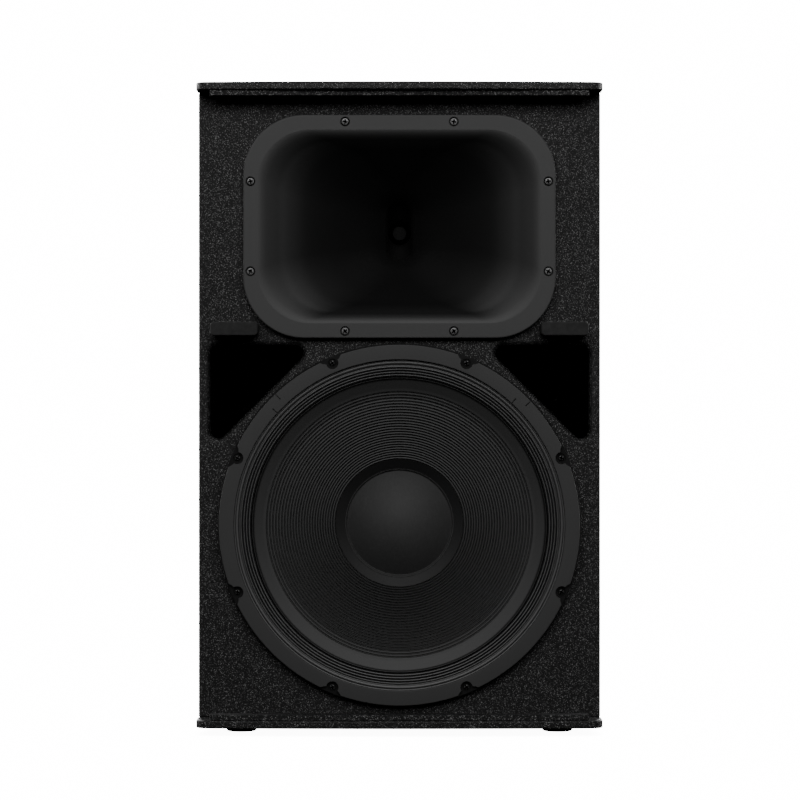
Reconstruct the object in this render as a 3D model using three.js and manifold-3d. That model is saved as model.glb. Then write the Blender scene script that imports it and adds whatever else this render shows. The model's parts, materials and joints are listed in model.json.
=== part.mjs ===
// A two-way 15 inch PA speaker cabinet, in millimetres.
// +Z is up, the drivers face -Y, and the origin is on the floor under the middle of the cabinet.
// The plywood box tapers towards the rear. Its top and bottom plates overhang the baffle, and carry
// the two rails that a front grille fastens to.

import * as THREE from 'three';
import { mergeVertices } from 'three/addons/utils/BufferGeometryUtils.js';
import Module from 'manifold-3d';

const wasm = await Module();
wasm.setup();

// ---------- Driving dimensions ----------

const GLUE_GAP = 0.3; // between pieces that meet on a slanted face
const BORE_SIDES = 40; // round a bore that takes a pole or a plug

// Cabinet
const HEIGHT = 693;
const DEPTH = 420;
const BODY_WIDTH = 430;
const BODY_REAR_WIDTH = 290;
const PLATE_THICKNESS = 8.5;
const PLATE_OVERHANG_SIDE = 1;
const PLATE_OVERHANG_FRONT = 40;
const PLATE_OVERHANG_REAR = 6;
const PLATE_CORNER_RADIUS = 12;
const PLATE_BOW = 6; // how far the middle of the front edge stands ahead of its ends
const SIDE_THICKNESS = 12;
const BAFFLE_THICKNESS = 15;
const REAR_THICKNESS = 15;
const FOOT_HEIGHT = 8;

// Grille rails and pads
const RAIL = { halfWidth: 201, height: 6, depth: 18, setBack: 7 };
const PAD = { inner: 150.2, outer: 200.7, low: 424.3, high: 438.9, corner: 5 };

// Bass-reflex ports: a right-angled triangle beside each side panel
const PORT = { outer: 202.7, inner: 91.2, top: 414.3, low: 302.8, corner: 8.5, duct: 110 };
const SHELF_THICKNESS = 12;
const DIVIDER_THICKNESS = 9;
const BRACE = { front: 40, back: 110, low: 466, high: 478 };

// Drivers
const WOOFER_Z = 222.6;
const HORN_Z = 541.1;
const SCREWS = 8;
const WOOFER_BOLT_RADIUS = 187;
const WOOFER_HOLE_RADIUS = 178;
const HORN_FLANGE = { halfWidth: 166.7, halfHeight: 119.2, corner: 65 };
const HORN_CUTOUT = { halfWidth: 149, halfHeight: 101, corner: 52 };
const HORN_PROUD = 12;
const WOOFER_PROUD = 11; // of the flange; the trim ring stands further out
const HORN_SCREW = { acrossX: 58, acrossZ: 111.7, besideX: 158.9, besideZ: 48 };
const SCREW = { shank: 2, pilot: 2.3, length: 16, head: 4.4, headHeight: 2.2, recess: 5.3 };

// Rear fittings
const TERMINAL = { halfWidth: 75, low: 120, high: 220, thickness: 2.5, margin: 9 };
const SOCKET = { x: 32, z: 180, bore: 10, body: 12, flange: 16, depth: 26.5 };
const SWITCH = { z: 145, slotHalfWidth: 6.5, slotHalfHeight: 2.5 };

// Fittings below and beside
const FOOT = { topRadius: 18, lowRadius: 16, recess: 6, recessHeight: 3.5 };
const FEET = [
  ['front_left_foot', -170, -150],
  ['front_right_foot', 170, -150],
  ['rear_left_foot', -112, 165],
  ['rear_right_foot', 112, 165],
];
const POLE = { y: 20, bore: 18, wall: 2, depth: 95, flangeRadius: 48, flangeThickness: 3 };
const HANDLE = { y: 55, z: 410, halfLength: 84, halfHeight: 50, depth: 42, wall: 2.5, bar: 9 };

// ---------- Planes worked out from them ----------

const FRONT = -DEPTH / 2;
const REAR = DEPTH / 2;
const BAFFLE_FRONT = FRONT + PLATE_OVERHANG_FRONT;
const BAFFLE_BACK = BAFFLE_FRONT + BAFFLE_THICKNESS;
const REAR_OUTSIDE = REAR - PLATE_OVERHANG_REAR;
const REAR_INSIDE = REAR_OUTSIDE - REAR_THICKNESS;
const BODY_LOW = FOOT_HEIGHT + PLATE_THICKNESS;
const BODY_HIGH = HEIGHT - PLATE_THICKNESS;
const TAPER = (BODY_WIDTH - BODY_REAR_WIDTH) / 2 / (REAR_OUTSIDE - BAFFLE_FRONT);
const TAPER_ANGLE = Math.atan(TAPER);
const SIDE_ACROSS = SIDE_THICKNESS / Math.cos(TAPER_ANGLE);

/** Half the body's outside width at a depth. */
const outsideAt = (y) => BODY_WIDTH / 2 - (y - BAFFLE_FRONT) * TAPER;
/** Half the body's inside width at a depth. */
const insideAt = (y) => outsideAt(y) - SIDE_ACROSS;

// ---------- Materials ----------

const finish = (color, roughness, metalness = 0) =>
  new THREE.MeshStandardMaterial({ color, roughness, metalness });

const paint = finish(0x1d1d1d, 0.75);
const plywood = finish(0xb08d5c, 0.8);
const foam = finish(0x202020, 0.95);
const hornPlastic = finish(0x343434, 0.6);
const castFrame = finish(0x222222, 0.55, 0.3);
const gasketCork = finish(0x2c2c2c, 0.85);
const cloth = finish(0x1b1b1b, 0.7);
const paper = finish(0x232323, 0.8);
const steel = finish(0x6d6f72, 0.4, 0.9);
const ferrite = finish(0x2a2a2c, 0.7);
const aluminium = finish(0xa8aaad, 0.35, 0.9);
const screwBlack = finish(0x303030, 0.4, 0.6);
const rubber = finish(0x151515, 0.9);
const blackPlastic = finish(0x1a1a1a, 0.5);
const circuitBoard = finish(0x1f4a2c, 0.6);

// ---------- Solids ----------

/** A closed geometry as a manifold-3d solid. */
function solidOf(geometry) {
  const bare = geometry.index ? geometry.toNonIndexed() : geometry.clone();
  bare.deleteAttribute('normal');
  bare.deleteAttribute('uv');
  bare.clearGroups();
  const merged = mergeVertices(bare, 1e-4);
  return new wasm.Manifold(new wasm.Mesh({
    numProp: 3,
    vertProperties: new Float32Array(merged.attributes.position.array),
    triVerts: new Uint32Array(merged.index.array),
  }));
}

/** A manifold-3d solid as a three.js geometry. */
function geometryOf(solid) {
  const mesh = solid.getMesh();
  const geometry = new THREE.BufferGeometry();
  geometry.setAttribute('position', new THREE.BufferAttribute(mesh.vertProperties, mesh.numProp));
  geometry.setIndex(new THREE.BufferAttribute(mesh.triVerts, 1));
  geometry.computeVertexNormals();
  return geometry;
}

const cut = (whole, ...tools) =>
  geometryOf(tools.reduce((left, tool) => left.subtract(solidOf(tool)), solidOf(whole)));

const join = (...pieces) =>
  geometryOf(pieces.map(solidOf).reduce((sum, piece) => sum.add(piece)));

// ---------- Shapes ----------

const boxBetween = (low, high) => {
  const size = high.map((value, i) => value - low[i]);
  const middle = high.map((value, i) => (value + low[i]) / 2);
  return new THREE.BoxGeometry(...size).translate(...middle);
};

/** An outline in plan (x, y), raised from zLow to zHigh. */
const prismUp = (shape, zLow, zHigh, curveSegments = 8) =>
  new THREE.ExtrudeGeometry(shape, { depth: zHigh - zLow, bevelEnabled: false, curveSegments })
    .translate(0, 0, zLow);

/** An outline seen from the front (x, z), pushed from yFront back to yBack. */
const prismBack = (shape, yFront, yBack, curveSegments = 8) =>
  new THREE.ExtrudeGeometry(shape, { depth: yBack - yFront, bevelEnabled: false, curveSegments })
    .rotateX(Math.PI / 2)
    .translate(0, yBack, 0);

const polygon = (points) => new THREE.Shape(points.map(([x, y]) => new THREE.Vector2(x, y)));

/** A polygon whose corners [x, y, radius] are rounded by arcs. */
function roundedPolygon(corners, arcSteps = 5) {
  const points = corners.flatMap(([x, y, radius], i) => {
    const here = new THREE.Vector2(x, y);
    const towards = ([px, py]) => new THREE.Vector2(px, py).sub(here).normalize();
    const back = towards(corners.at(i - 1));
    const ahead = towards(corners[(i + 1) % corners.length]);
    const half = Math.acos(THREE.MathUtils.clamp(back.dot(ahead), -1, 1)) / 2;
    const centre = back.clone().add(ahead).normalize().multiplyScalar(radius / Math.sin(half)).add(here);
    const start = back.clone().multiplyScalar(radius / Math.tan(half)).add(here).sub(centre);
    const turn = Math.sign(back.cross(ahead)) * (Math.PI - 2 * half);
    return Array.from({ length: arcSteps + 1 }, (_, k) =>
      start.clone().rotateAround(new THREE.Vector2(), -turn * k / arcSteps).add(centre));
  });
  return new THREE.Shape(points);
}

const roundedRectangle = (halfWidth, halfHeight, corner, arcSteps = 5) => roundedPolygon([
  [halfWidth, halfHeight, corner],
  [-halfWidth, halfHeight, corner],
  [-halfWidth, -halfHeight, corner],
  [halfWidth, -halfHeight, corner],
], arcSteps);

/** A closed profile of [radius, y] points turned about the Y axis. */
function turned(profile, segments = 36) {
  const points = profile.map(([r, y]) => new THREE.Vector2(r, y));
  if (THREE.ShapeUtils.area(points) < 0) points.reverse();
  return new THREE.LatheGeometry([...points, points[0]], segments);
}

/** The same, turned about the Z axis: the profile holds [radius, z] points. */
const turnedUp = (profile, segments = 24) => turned(profile, segments).rotateX(Math.PI / 2);

/** A rod along Y at (x, z), from yFront to yBack. */
const rodBack = (radius, yFront, yBack, x = 0, z = 0, sides = 8) =>
  new THREE.CylinderGeometry(radius, radius, yBack - yFront, sides)
    .translate(x, (yFront + yBack) / 2, z);

/** A round cable through points. */
function cable(points, radius, steps) {
  const curve = new THREE.CatmullRomCurve3(points.map((p) => new THREE.Vector3(...p)));
  const section = new THREE.Shape().absarc(0, 0, radius, 0, 2 * Math.PI);
  return new THREE.ExtrudeGeometry(section, { steps, extrudePath: curve, curveSegments: 3 });
}

/** A skin through rings of points, closed round each ring and from the last ring to the first. */
function ringLoft(rings) {
  const count = rings[0].length;
  const geometry = new THREE.BufferGeometry().setFromPoints(rings.flat());
  const index = rings.flatMap((_, i) => {
    const here = i * count;
    const next = ((i + 1) % rings.length) * count;
    return Array.from({ length: count }, (_, k) => {
      const after = (k + 1) % count;
      return [here + k, next + after, next + k, here + k, here + after, next + after];
    }).flat();
  });
  return geometry.setIndex(index);
}

function piece(parent, name, geometry, material) {
  const mesh = new THREE.Mesh(geometry, material);
  mesh.name = name;
  parent.add(mesh);
  return mesh;
}

/** The eight screw places of the woofer, as [x, z] from its axis. */
const wooferScrewPlaces = Array.from({ length: SCREWS }, (_, i) => {
  const angle = (i + 0.5) * 2 * Math.PI / SCREWS;
  return [WOOFER_BOLT_RADIUS * Math.cos(angle), WOOFER_BOLT_RADIUS * Math.sin(angle)];
});

/** The eight screw places of the horn flange, as [x, z] from its middle. */
const hornScrewPlaces = [1, -1].flatMap((sx) => [1, -1].flatMap((sz) => [
  [sx * HORN_SCREW.acrossX, sz * HORN_SCREW.acrossZ],
  [sx * HORN_SCREW.besideX, sz * HORN_SCREW.besideZ],
]));

// ---------- Cabinet ----------

/** Plan of the top and bottom plates: bowed front, round front corners, tapered sides. */
function plateOutline() {
  const half = BODY_WIDTH / 2 + PLATE_OVERHANG_SIDE;
  const rearHalf = half - (REAR - BAFFLE_FRONT) * TAPER;
  const frontEnd = FRONT + PLATE_BOW;
  const corner = PLATE_CORNER_RADIUS;
  const shape = new THREE.Shape();
  shape.moveTo(-rearHalf, REAR);
  shape.lineTo(-half, BAFFLE_FRONT);
  shape.lineTo(-half, frontEnd + corner);
  shape.absarc(-half + corner, frontEnd + corner, corner, Math.PI, 1.5 * Math.PI);
  shape.quadraticCurveTo(0, FRONT - PLATE_BOW, half - corner, frontEnd);
  shape.absarc(half - corner, frontEnd + corner, corner, 1.5 * Math.PI, 2 * Math.PI);
  shape.lineTo(half, BAFFLE_FRONT);
  shape.lineTo(rearHalf, REAR);
  return shape;
}

/** Outline of a port in the baffle. */
const portOutline = (sign) => roundedPolygon([
  [sign * PORT.outer, PORT.top, PORT.corner],
  [sign * PORT.inner, PORT.top, PORT.corner],
  [sign * PORT.outer, PORT.low, PORT.corner],
]);

function sidePanel(sign) {
  const board = prismUp(polygon([
    [sign * outsideAt(BAFFLE_BACK), BAFFLE_BACK],
    [sign * outsideAt(REAR_OUTSIDE), REAR_OUTSIDE],
    [sign * insideAt(REAR_OUTSIDE), REAR_OUTSIDE],
    [sign * insideAt(BAFFLE_BACK), BAFFLE_BACK],
  ]), BODY_LOW, BODY_HIGH);
  const clearance = 2;
  const window = boxBetween(
    [-HANDLE.depth, -HANDLE.halfLength - clearance, -HANDLE.halfHeight - clearance],
    [HANDLE.depth, HANDLE.halfLength + clearance, HANDLE.halfHeight + clearance],
  ).applyMatrix4(handlePlace(sign));
  return cut(board, window);
}

/** The handle's own frame: its x points out of the side panel, and its z up. */
function handlePlace(sign) {
  const turn = sign > 0 ? TAPER_ANGLE : Math.PI - TAPER_ANGLE;
  return new THREE.Matrix4().makeRotationZ(turn)
    .setPosition(sign * outsideAt(HANDLE.y), HANDLE.y, HANDLE.z);
}

/** A board across the inside, between the side panels, from yFront to yBack. */
const insideBoard = (yFront, yBack, zLow, zHigh) => prismUp(polygon([
  [-insideAt(yFront) + GLUE_GAP, yFront],
  [insideAt(yFront) - GLUE_GAP, yFront],
  [insideAt(yBack) - GLUE_GAP, yBack],
  [-insideAt(yBack) + GLUE_GAP, yBack],
]), zLow, zHigh);

/** The baffle covers the front edges of the side panels. */
function baffle() {
  const past = 5;
  const [yFront, yBack] = [BAFFLE_FRONT - past, BAFFLE_BACK + past];
  const hornHole = prismBack(
    roundedRectangle(HORN_CUTOUT.halfWidth, HORN_CUTOUT.halfHeight, HORN_CUTOUT.corner), yFront, yBack,
  ).translate(0, 0, HORN_Z);
  const wooferHole = rodBack(WOOFER_HOLE_RADIUS, yFront, yBack, 0, WOOFER_Z, 48);
  const pilots = [
    ...wooferScrewPlaces.map(([x, z]) => [x, z + WOOFER_Z]),
    ...hornScrewPlaces.map(([x, z]) => [x, z + HORN_Z]),
  ].map(([x, z]) => rodBack(SCREW.pilot, yFront, yBack, x, z, 6));
  const ports = [-1, 1].map((sign) => prismBack(portOutline(sign), yFront, yBack));
  const board = prismUp(polygon([
    [-outsideAt(BAFFLE_FRONT), BAFFLE_FRONT],
    [outsideAt(BAFFLE_FRONT), BAFFLE_FRONT],
    [outsideAt(BAFFLE_BACK), BAFFLE_BACK],
    [-outsideAt(BAFFLE_BACK), BAFFLE_BACK],
  ]), BODY_LOW, BODY_HIGH);
  return cut(board, hornHole, wooferHole, ...ports, ...pilots);
}

/** The shelf and the sloping divider that close a port in behind the baffle. */
function portDuct(sign) {
  const beyond = PORT.outer + 8;
  const slope = PORT.inner + PORT.top; // x + z along the port's sloping edge
  const lowerSlope = slope - DIVIDER_THICKNESS * Math.SQRT2;
  const tip = PORT.inner - DIVIDER_THICKNESS;
  const [yFront, yBack] = [BAFFLE_BACK, BAFFLE_BACK + PORT.duct];
  const boards = prismBack(polygon([
    [sign * tip, PORT.top + SHELF_THICKNESS],
    [sign * beyond, PORT.top + SHELF_THICKNESS],
    [sign * beyond, PORT.top],
    [sign * PORT.inner, PORT.top],
    [sign * beyond, slope - beyond],
    [sign * beyond, lowerSlope - beyond],
    [sign * tip, lowerSlope - tip],
  ]), yFront, yBack);
  const outside = prismUp(polygon([
    [sign * (insideAt(yFront - 1) - GLUE_GAP), yFront - 1],
    [sign * BODY_WIDTH, yFront - 1],
    [sign * BODY_WIDTH, yBack + 1],
    [sign * (insideAt(yBack + 1) - GLUE_GAP), yBack + 1],
  ]), BODY_LOW, BODY_HIGH);
  return cut(boards, outside);
}

function rail(zLow) {
  const yFront = FRONT + RAIL.setBack;
  const { halfWidth, depth, height } = RAIL;
  return boxBetween([-halfWidth, yFront, zLow], [halfWidth, yFront + depth, zLow + height]);
}

function grillePad(sign) {
  const middle = [(PAD.inner + PAD.outer) / 2, (PAD.low + PAD.high) / 2];
  const outline = roundedRectangle((PAD.outer - PAD.inner) / 2, (PAD.high - PAD.low) / 2, PAD.corner, 3);
  const front = FRONT + RAIL.setBack; // the grille rests on the pads and the rails alike
  return prismBack(outline, front, BAFFLE_FRONT).translate(sign * middle[0], 0, middle[1]);
}

function rearPanel() {
  const opening = boxBetween(
    [-TERMINAL.halfWidth + TERMINAL.margin, REAR_INSIDE - 1, TERMINAL.low + TERMINAL.margin],
    [TERMINAL.halfWidth - TERMINAL.margin, REAR_OUTSIDE + 1, TERMINAL.high - TERMINAL.margin],
  );
  return cut(insideBoard(REAR_INSIDE, REAR_OUTSIDE, BODY_LOW, BODY_HIGH), opening);
}

/** The bottom plate, with a clearance hole for the pole socket. */
function bottomPanel() {
  const clearance = 1;
  const radius = POLE.bore + POLE.wall + clearance;
  const hole = new THREE.CylinderGeometry(radius, radius, 4 * PLATE_THICKNESS, 24)
    .rotateX(Math.PI / 2)
    .translate(0, POLE.y, FOOT_HEIGHT);
  return cut(prismUp(plateOutline(), FOOT_HEIGHT, BODY_LOW), hole);
}

function addCabinet(parent) {
  const brace = insideBoard(BRACE.front, BRACE.back, BRACE.low, BRACE.high);
  piece(parent, 'top_panel', prismUp(plateOutline(), BODY_HIGH, HEIGHT), paint);
  piece(parent, 'bottom_panel', bottomPanel(), paint);
  piece(parent, 'left_side_panel', sidePanel(-1), paint);
  piece(parent, 'right_side_panel', sidePanel(1), paint);
  piece(parent, 'rear_panel', rearPanel(), paint);
  piece(parent, 'front_baffle', baffle(), paint);
  piece(parent, 'top_grille_rail', rail(BODY_HIGH - RAIL.height), paint);
  piece(parent, 'bottom_grille_rail', rail(BODY_LOW), paint);
  piece(parent, 'left_port_duct', portDuct(-1), plywood);
  piece(parent, 'right_port_duct', portDuct(1), plywood);
  piece(parent, 'cross_brace', brace, plywood);
  piece(parent, 'left_grille_pad', grillePad(-1), foam);
  piece(parent, 'right_grille_pad', grillePad(1), foam);
}

// ---------- Woofer: every profile is [radius, y], about the driver's own axis ----------

const FLANGE_FRONT = BAFFLE_FRONT - WOOFER_PROUD;
const TRIM_THICKNESS = 4.5;
const LEDGE = FLANGE_FRONT + 2; // the surround's lip is glued here
const TERMINAL_BLOCK = { z: 106, half: 6, front: -94, back: -74 };
const CONE = { outer: 157.4, bandInner: 144, ribInner: 69, neck: 51.8, thickness: 1.1 };
const COIL = { inner: 50.6, outer: 51.4, front: -117, back: -60 };
const SPIDER = { inner: 51.9, outer: 98, front: -90.6, back: -89.3 };
const MAGNET = { plateInner: 52.3, plateOuter: 90, front: -72, inner: 56, outer: 95, low: -62, high: -42 };
const YOKE = { vent: 10, pole: 49.8, back: -30 };

/** Depth of the cone's front at a radius: a flat outer band, a curved middle and a straight neck. */
function coneFront(r) {
  const bandY = LEDGE + 5;
  if (r >= CONE.bandInner) return bandY - 0.3 * (r - CONE.bandInner);
  const curved = Math.min(CONE.bandInner - r, CONE.bandInner - CONE.ribInner);
  const straight = Math.max(CONE.ribInner - r, 0);
  return bandY + 0.36 * curved + 0.0028 * curved ** 2 + 0.8 * straight;
}

function wooferFrame() {
  const basket = turned([
    [177, FLANGE_FRONT], [194, FLANGE_FRONT], [194, BAFFLE_FRONT], [177.5, BAFFLE_FRONT],
    [174, -150], [104, -84], [92, -84], [92, -72], [78, -72], [78, -76], [86, -76], [86, -89],
    [100, -89], [108, -92], [169.5, -150], [167, -168], [167, LEDGE], [177, LEDGE],
  ]);
  const windows = Array.from({ length: 6 }, (_, i) => {
    const middle = (i + 0.5) * Math.PI / 3;
    const half = Math.PI / 8;
    const sector = new THREE.Shape();
    sector.absarc(0, 0, 160, middle - half, middle + half);
    sector.absarc(0, 0, 116, middle + half, middle - half, true);
    return prismBack(sector, -160, -80, 3);
  });
  const screwHoles = wooferScrewPlaces.map(([x, z]) =>
    rodBack(SCREW.pilot, FLANGE_FRONT - 1, BAFFLE_FRONT + 1, x, z, 6));
  const { z, half, front, back } = TERMINAL_BLOCK;
  const block = boxBetween([-2 * half, front, z - half], [2 * half, back, z + half]);
  return join(cut(basket, ...windows, ...screwHoles), block);
}

/** The trim ring in front of the flange, notched round each screw. */
function wooferGasket() {
  const notch = 6.6;
  const ring = new THREE.Shape().absarc(0, 0, 192.2, 0, 2 * Math.PI);
  ring.holes.push(new THREE.Path().absarc(0, 0, 176.6, 0, 2 * Math.PI, true));
  const trim = prismBack(ring, FLANGE_FRONT - TRIM_THICKNESS, FLANGE_FRONT, 24);
  const outline = new THREE.Shape();
  outline.moveTo(8, 14);
  outline.quadraticCurveTo(3.2, 7.6, 0, notch);
  outline.absarc(0, 0, notch, Math.PI / 2, 1.5 * Math.PI);
  outline.quadraticCurveTo(3.2, -7.6, 8, -14);
  const notches = wooferScrewPlaces.map(([x, z]) =>
    prismBack(outline, FLANGE_FRONT - 2 * TRIM_THICKNESS, FLANGE_FRONT + 1, 3)
      .rotateY(-Math.atan2(z, x))
      .translate(x, 0, z));
  return cut(trim, ...notches);
}

function cone() {
  const radii = [CONE.outer, CONE.bandInner, 120, 95, CONE.ribInner, CONE.neck];
  const front = radii.map((r) => [r, coneFront(r)]);
  const back = radii.map((r) => [r, coneFront(r) + CONE.thickness]).reverse();
  return turned([...front, ...back]);
}

function dustCap() {
  const base = 55.6;
  const height = 20;
  const skin = 0.8;
  const domeY = (r) => coneFront(base) - 1.4 - height * (1 - (r / base) ** 2);
  const dome = [0, 22, 40, base].map((r) => [r, domeY(r)]);
  const rim = [58.8, coneFront(58.8) - 1.2];
  const front = [...dome, rim];
  return turned([...front, ...front.map(([r, y]) => [r, y + skin]).reverse()]);
}

/** The surround: a lip glued to the ledge, and a skin that reaches in to the cone's edge. */
function surround() {
  const lip = LEDGE - 0.3;
  return turned([
    [157.8, LEDGE + 0.3], [160, LEDGE - 1], [166, LEDGE - 1], [176.3, LEDGE - 0.9],
    [176.3, lip], [166.6, lip], [162, LEDGE + 0.4], [157.8, LEDGE + 1.4],
  ]);
}

/** A plain ring about the driver's axis. */
const ring = (inner, outer, yFront, yBack) =>
  turned([[inner, yFront], [outer, yFront], [outer, yBack], [inner, yBack]], 32);

function yoke() {
  const { vent, pole, back } = YOKE;
  const { plateOuter, front, high } = MAGNET;
  return turned([
    [vent, front], [pole, front], [pole, high], [plateOuter, high], [plateOuter, back], [vent, back],
  ], 32);
}

function addWoofer(parent) {
  const woofer = new THREE.Group();
  woofer.position.z = WOOFER_Z;
  parent.add(woofer);
  piece(woofer, 'woofer_frame', wooferFrame(), castFrame);
  piece(woofer, 'woofer_gasket', wooferGasket(), gasketCork);
  piece(woofer, 'woofer_surround', surround(), cloth);
  piece(woofer, 'woofer_cone', cone(), paper);
  piece(woofer, 'woofer_dust_cap', dustCap(), paper);
  const { plateInner, plateOuter, front, inner, outer, low, high } = MAGNET;
  piece(woofer, 'woofer_voice_coil', ring(COIL.inner, COIL.outer, COIL.front, COIL.back), aluminium);
  piece(woofer, 'woofer_spider', ring(SPIDER.inner, SPIDER.outer, SPIDER.front, SPIDER.back), cloth);
  piece(woofer, 'woofer_top_plate', ring(plateInner, plateOuter, front, low), steel);
  piece(woofer, 'woofer_magnet', ring(inner, outer, low, high), ferrite);
  piece(woofer, 'woofer_yoke', yoke(), steel);
  wooferScrewPlaces.forEach(([x, z], i) =>
    piece(woofer, `woofer_screw_${i + 1}`, screw(FLANGE_FRONT), screwBlack).position.set(x, 0, z));
}

// ---------- Fasteners ----------

/** A pan-head wood screw whose head rests at seatY and points to the front. */
function screw(seatY) {
  const top = seatY - SCREW.headHeight;
  return turned([
    [0, top], [SCREW.head - 1.4, top + 0.3], [SCREW.head, seatY], [SCREW.shank, seatY],
    [SCREW.shank, seatY + SCREW.length - 2], [0, seatY + SCREW.length],
  ], 8);
}

// ---------- Horn and compression driver ----------

const HORN_FACE = BAFFLE_FRONT - HORN_PROUD;
const HORN_SEAT = HORN_FACE + 2.5; // the screw heads sit in counterbores this deep
const DRIVER_FACE = BAFFLE_FRONT + 125;
const HORN_WALL = 3;
const RING_ARC_STEPS = 5; // along each corner of the flare

/** A rounded rectangle of points at a depth. A corner as large as both halves makes a circle. */
function hornRing(halfWidth, halfHeight, corner, y) {
  return roundedRectangle(halfWidth, halfHeight, corner, RING_ARC_STEPS).getPoints()
    .slice(0, 4 * (RING_ARC_STEPS + 1)).map((p) => new THREE.Vector3(p.x, y, p.y));
}

/** Inside of the flare: half width, half height, corner, and depth behind the flange's face. */
const FLARE = [
  [153, 104.6, 57, 0], [143, 97.4, 55.5, 1.6], [128, 91.4, 55, 6.5], [105, 84, 54, 17.5],
  [78, 71.8, 48, 36.3], [50, 56, 36, 61], [28, 41.3, 24, 84], [13.8, 32.5, 13.7, 103],
];
const LIP_ROWS = 3; // of the flare, which lie in the flange and have no wall of their own
const HORN_FOOT = { radius: 45, thickness: 7 };
const THROAT = { exit: 12.7, outerHalfWidth: 18, outerHalfHeight: 21 };

function hornFlare() {
  const { halfWidth, halfHeight, corner } = HORN_FLANGE;
  const edge = 1.5;
  const circle = (radius, y) => hornRing(radius, radius, radius - 0.01, y);
  const inside = FLARE.map(([w, h, c, depth]) => hornRing(w, h, c, HORN_FACE + depth));
  const outside = FLARE.slice(LIP_ROWS).map(([w, h, c, depth]) =>
    hornRing(w + HORN_WALL, h + HORN_WALL, c + HORN_WALL, HORN_FACE + depth + HORN_WALL));
  const spigot = (inset, y) => hornRing(
    HORN_CUTOUT.halfWidth - inset, HORN_CUTOUT.halfHeight - inset, HORN_CUTOUT.corner - inset, y);
  const footFront = DRIVER_FACE - HORN_FOOT.thickness;
  const { exit, outerHalfWidth, outerHalfHeight } = THROAT;
  const body = ringLoft([
    hornRing(halfWidth, halfHeight, corner, HORN_FACE + edge),
    hornRing(halfWidth - edge, halfHeight - edge, corner - edge, HORN_FACE),
    ...inside,
    circle(exit, DRIVER_FACE),
    circle(HORN_FOOT.radius, DRIVER_FACE),
    circle(HORN_FOOT.radius, footFront),
    hornRing(outerHalfWidth, outerHalfHeight, outerHalfWidth - 0.1, footFront),
    ...outside.reverse(),
    spigot(2.5, BAFFLE_FRONT + 6),
    spigot(1.5, BAFFLE_FRONT),
    hornRing(halfWidth, halfHeight, corner, BAFFLE_FRONT),
  ]);
  const holes = hornScrewPlaces.flatMap(([x, z]) => [
    rodBack(SCREW.recess, HORN_FACE - 2, HORN_SEAT, x, z, 12),
    rodBack(SCREW.pilot, HORN_FACE - 2, BAFFLE_FRONT + 1, x, z, 6),
  ]);
  return cut(body, ...holes);
}

function addHorn(parent) {
  const horn = new THREE.Group();
  horn.position.z = HORN_Z;
  parent.add(horn);
  piece(horn, 'horn_flare', hornFlare(), hornPlastic);
  hornScrewPlaces.forEach(([x, z], i) =>
    piece(horn, `horn_screw_${i + 1}`, screw(HORN_SEAT), screwBlack).position.set(x, 0, z));

  const driver = new THREE.Group(); // its own y starts at the horn's rear flange
  driver.position.y = DRIVER_FACE + GLUE_GAP;
  horn.add(driver);
  piece(driver, 'hf_back_plate', turned([
    [12.7, 0], [45, 0], [45, 8], [21.6, 8], [21.6, 33], [20.6, 33], [15.5, 20],
  ], 24), steel);
  piece(driver, 'hf_magnet', turned([[27, 8], [45, 8], [45, 26], [27, 26]], 24), ferrite);
  piece(driver, 'hf_top_plate', turned([[22.9, 26], [45, 26], [45, 33], [22.9, 33]], 24), steel);
  piece(driver, 'hf_phase_plug', turned([
    [0, -6], [7.5, -6], [9, 6], [13, 20], [19.9, 33], [17, 36.5], [10, 40.5], [0, 42],
  ], 24), blackPlastic);
  piece(driver, 'hf_diaphragm', turned([
    [22, 28], [22.5, 28], [22.5, 34.2], [28, 34.2], [28, 34.7], [22, 34.7], [18.6, 38.4], [11, 42.6],
    [0, 44.1], [0, 43.6], [10.8, 42.1], [18.2, 38], [22, 34.2],
  ], 24), aluminium);
  piece(driver, 'hf_rear_cover', turned([
    [29, 33], [45, 33], [45, 52], [38, 58], [0, 58], [0, 55], [37, 55], [42, 51], [42, 37], [29, 37],
  ], 24), blackPlastic);
}

// ---------- Rear panel fittings ----------

function terminalPlate() {
  const { halfWidth, low, high, thickness } = TERMINAL;
  const plate = prismBack(
    roundedRectangle(halfWidth, (high - low) / 2, 6, 3), REAR_OUTSIDE, REAR_OUTSIDE + thickness,
  ).translate(0, 0, (high + low) / 2);
  const [yFront, yBack] = [REAR_OUTSIDE - 1, REAR_OUTSIDE + thickness + 1];
  const socketHoles = [-1, 1].map((sign) =>
    rodBack(SOCKET.body + 0.4, yFront, yBack, sign * SOCKET.x, SOCKET.z, 24));
  const { z, slotHalfWidth, slotHalfHeight } = SWITCH;
  const slot = boxBetween(
    [-slotHalfWidth, yFront, z - slotHalfHeight], [slotHalfWidth, yBack, z + slotHalfHeight],
  );
  return cut(plate, ...socketHoles, slot);
}

/** A four-pole locking loudspeaker socket, open to the rear. */
function speakerSocket() {
  const seat = REAR_OUTSIDE + TERMINAL.thickness;
  const { flange, body, bore, depth } = SOCKET;
  const face = seat + 2.5;
  return cut(
    join(
      prismBack(roundedRectangle(flange - 3, flange, 3, 2), seat, face),
      rodBack(body, seat - depth, seat + 1, 0, 0, 20),
    ),
    rodBack(bore, seat - depth + 4, face + 1, 0, 0, BORE_SIDES),
  );
}

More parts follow.
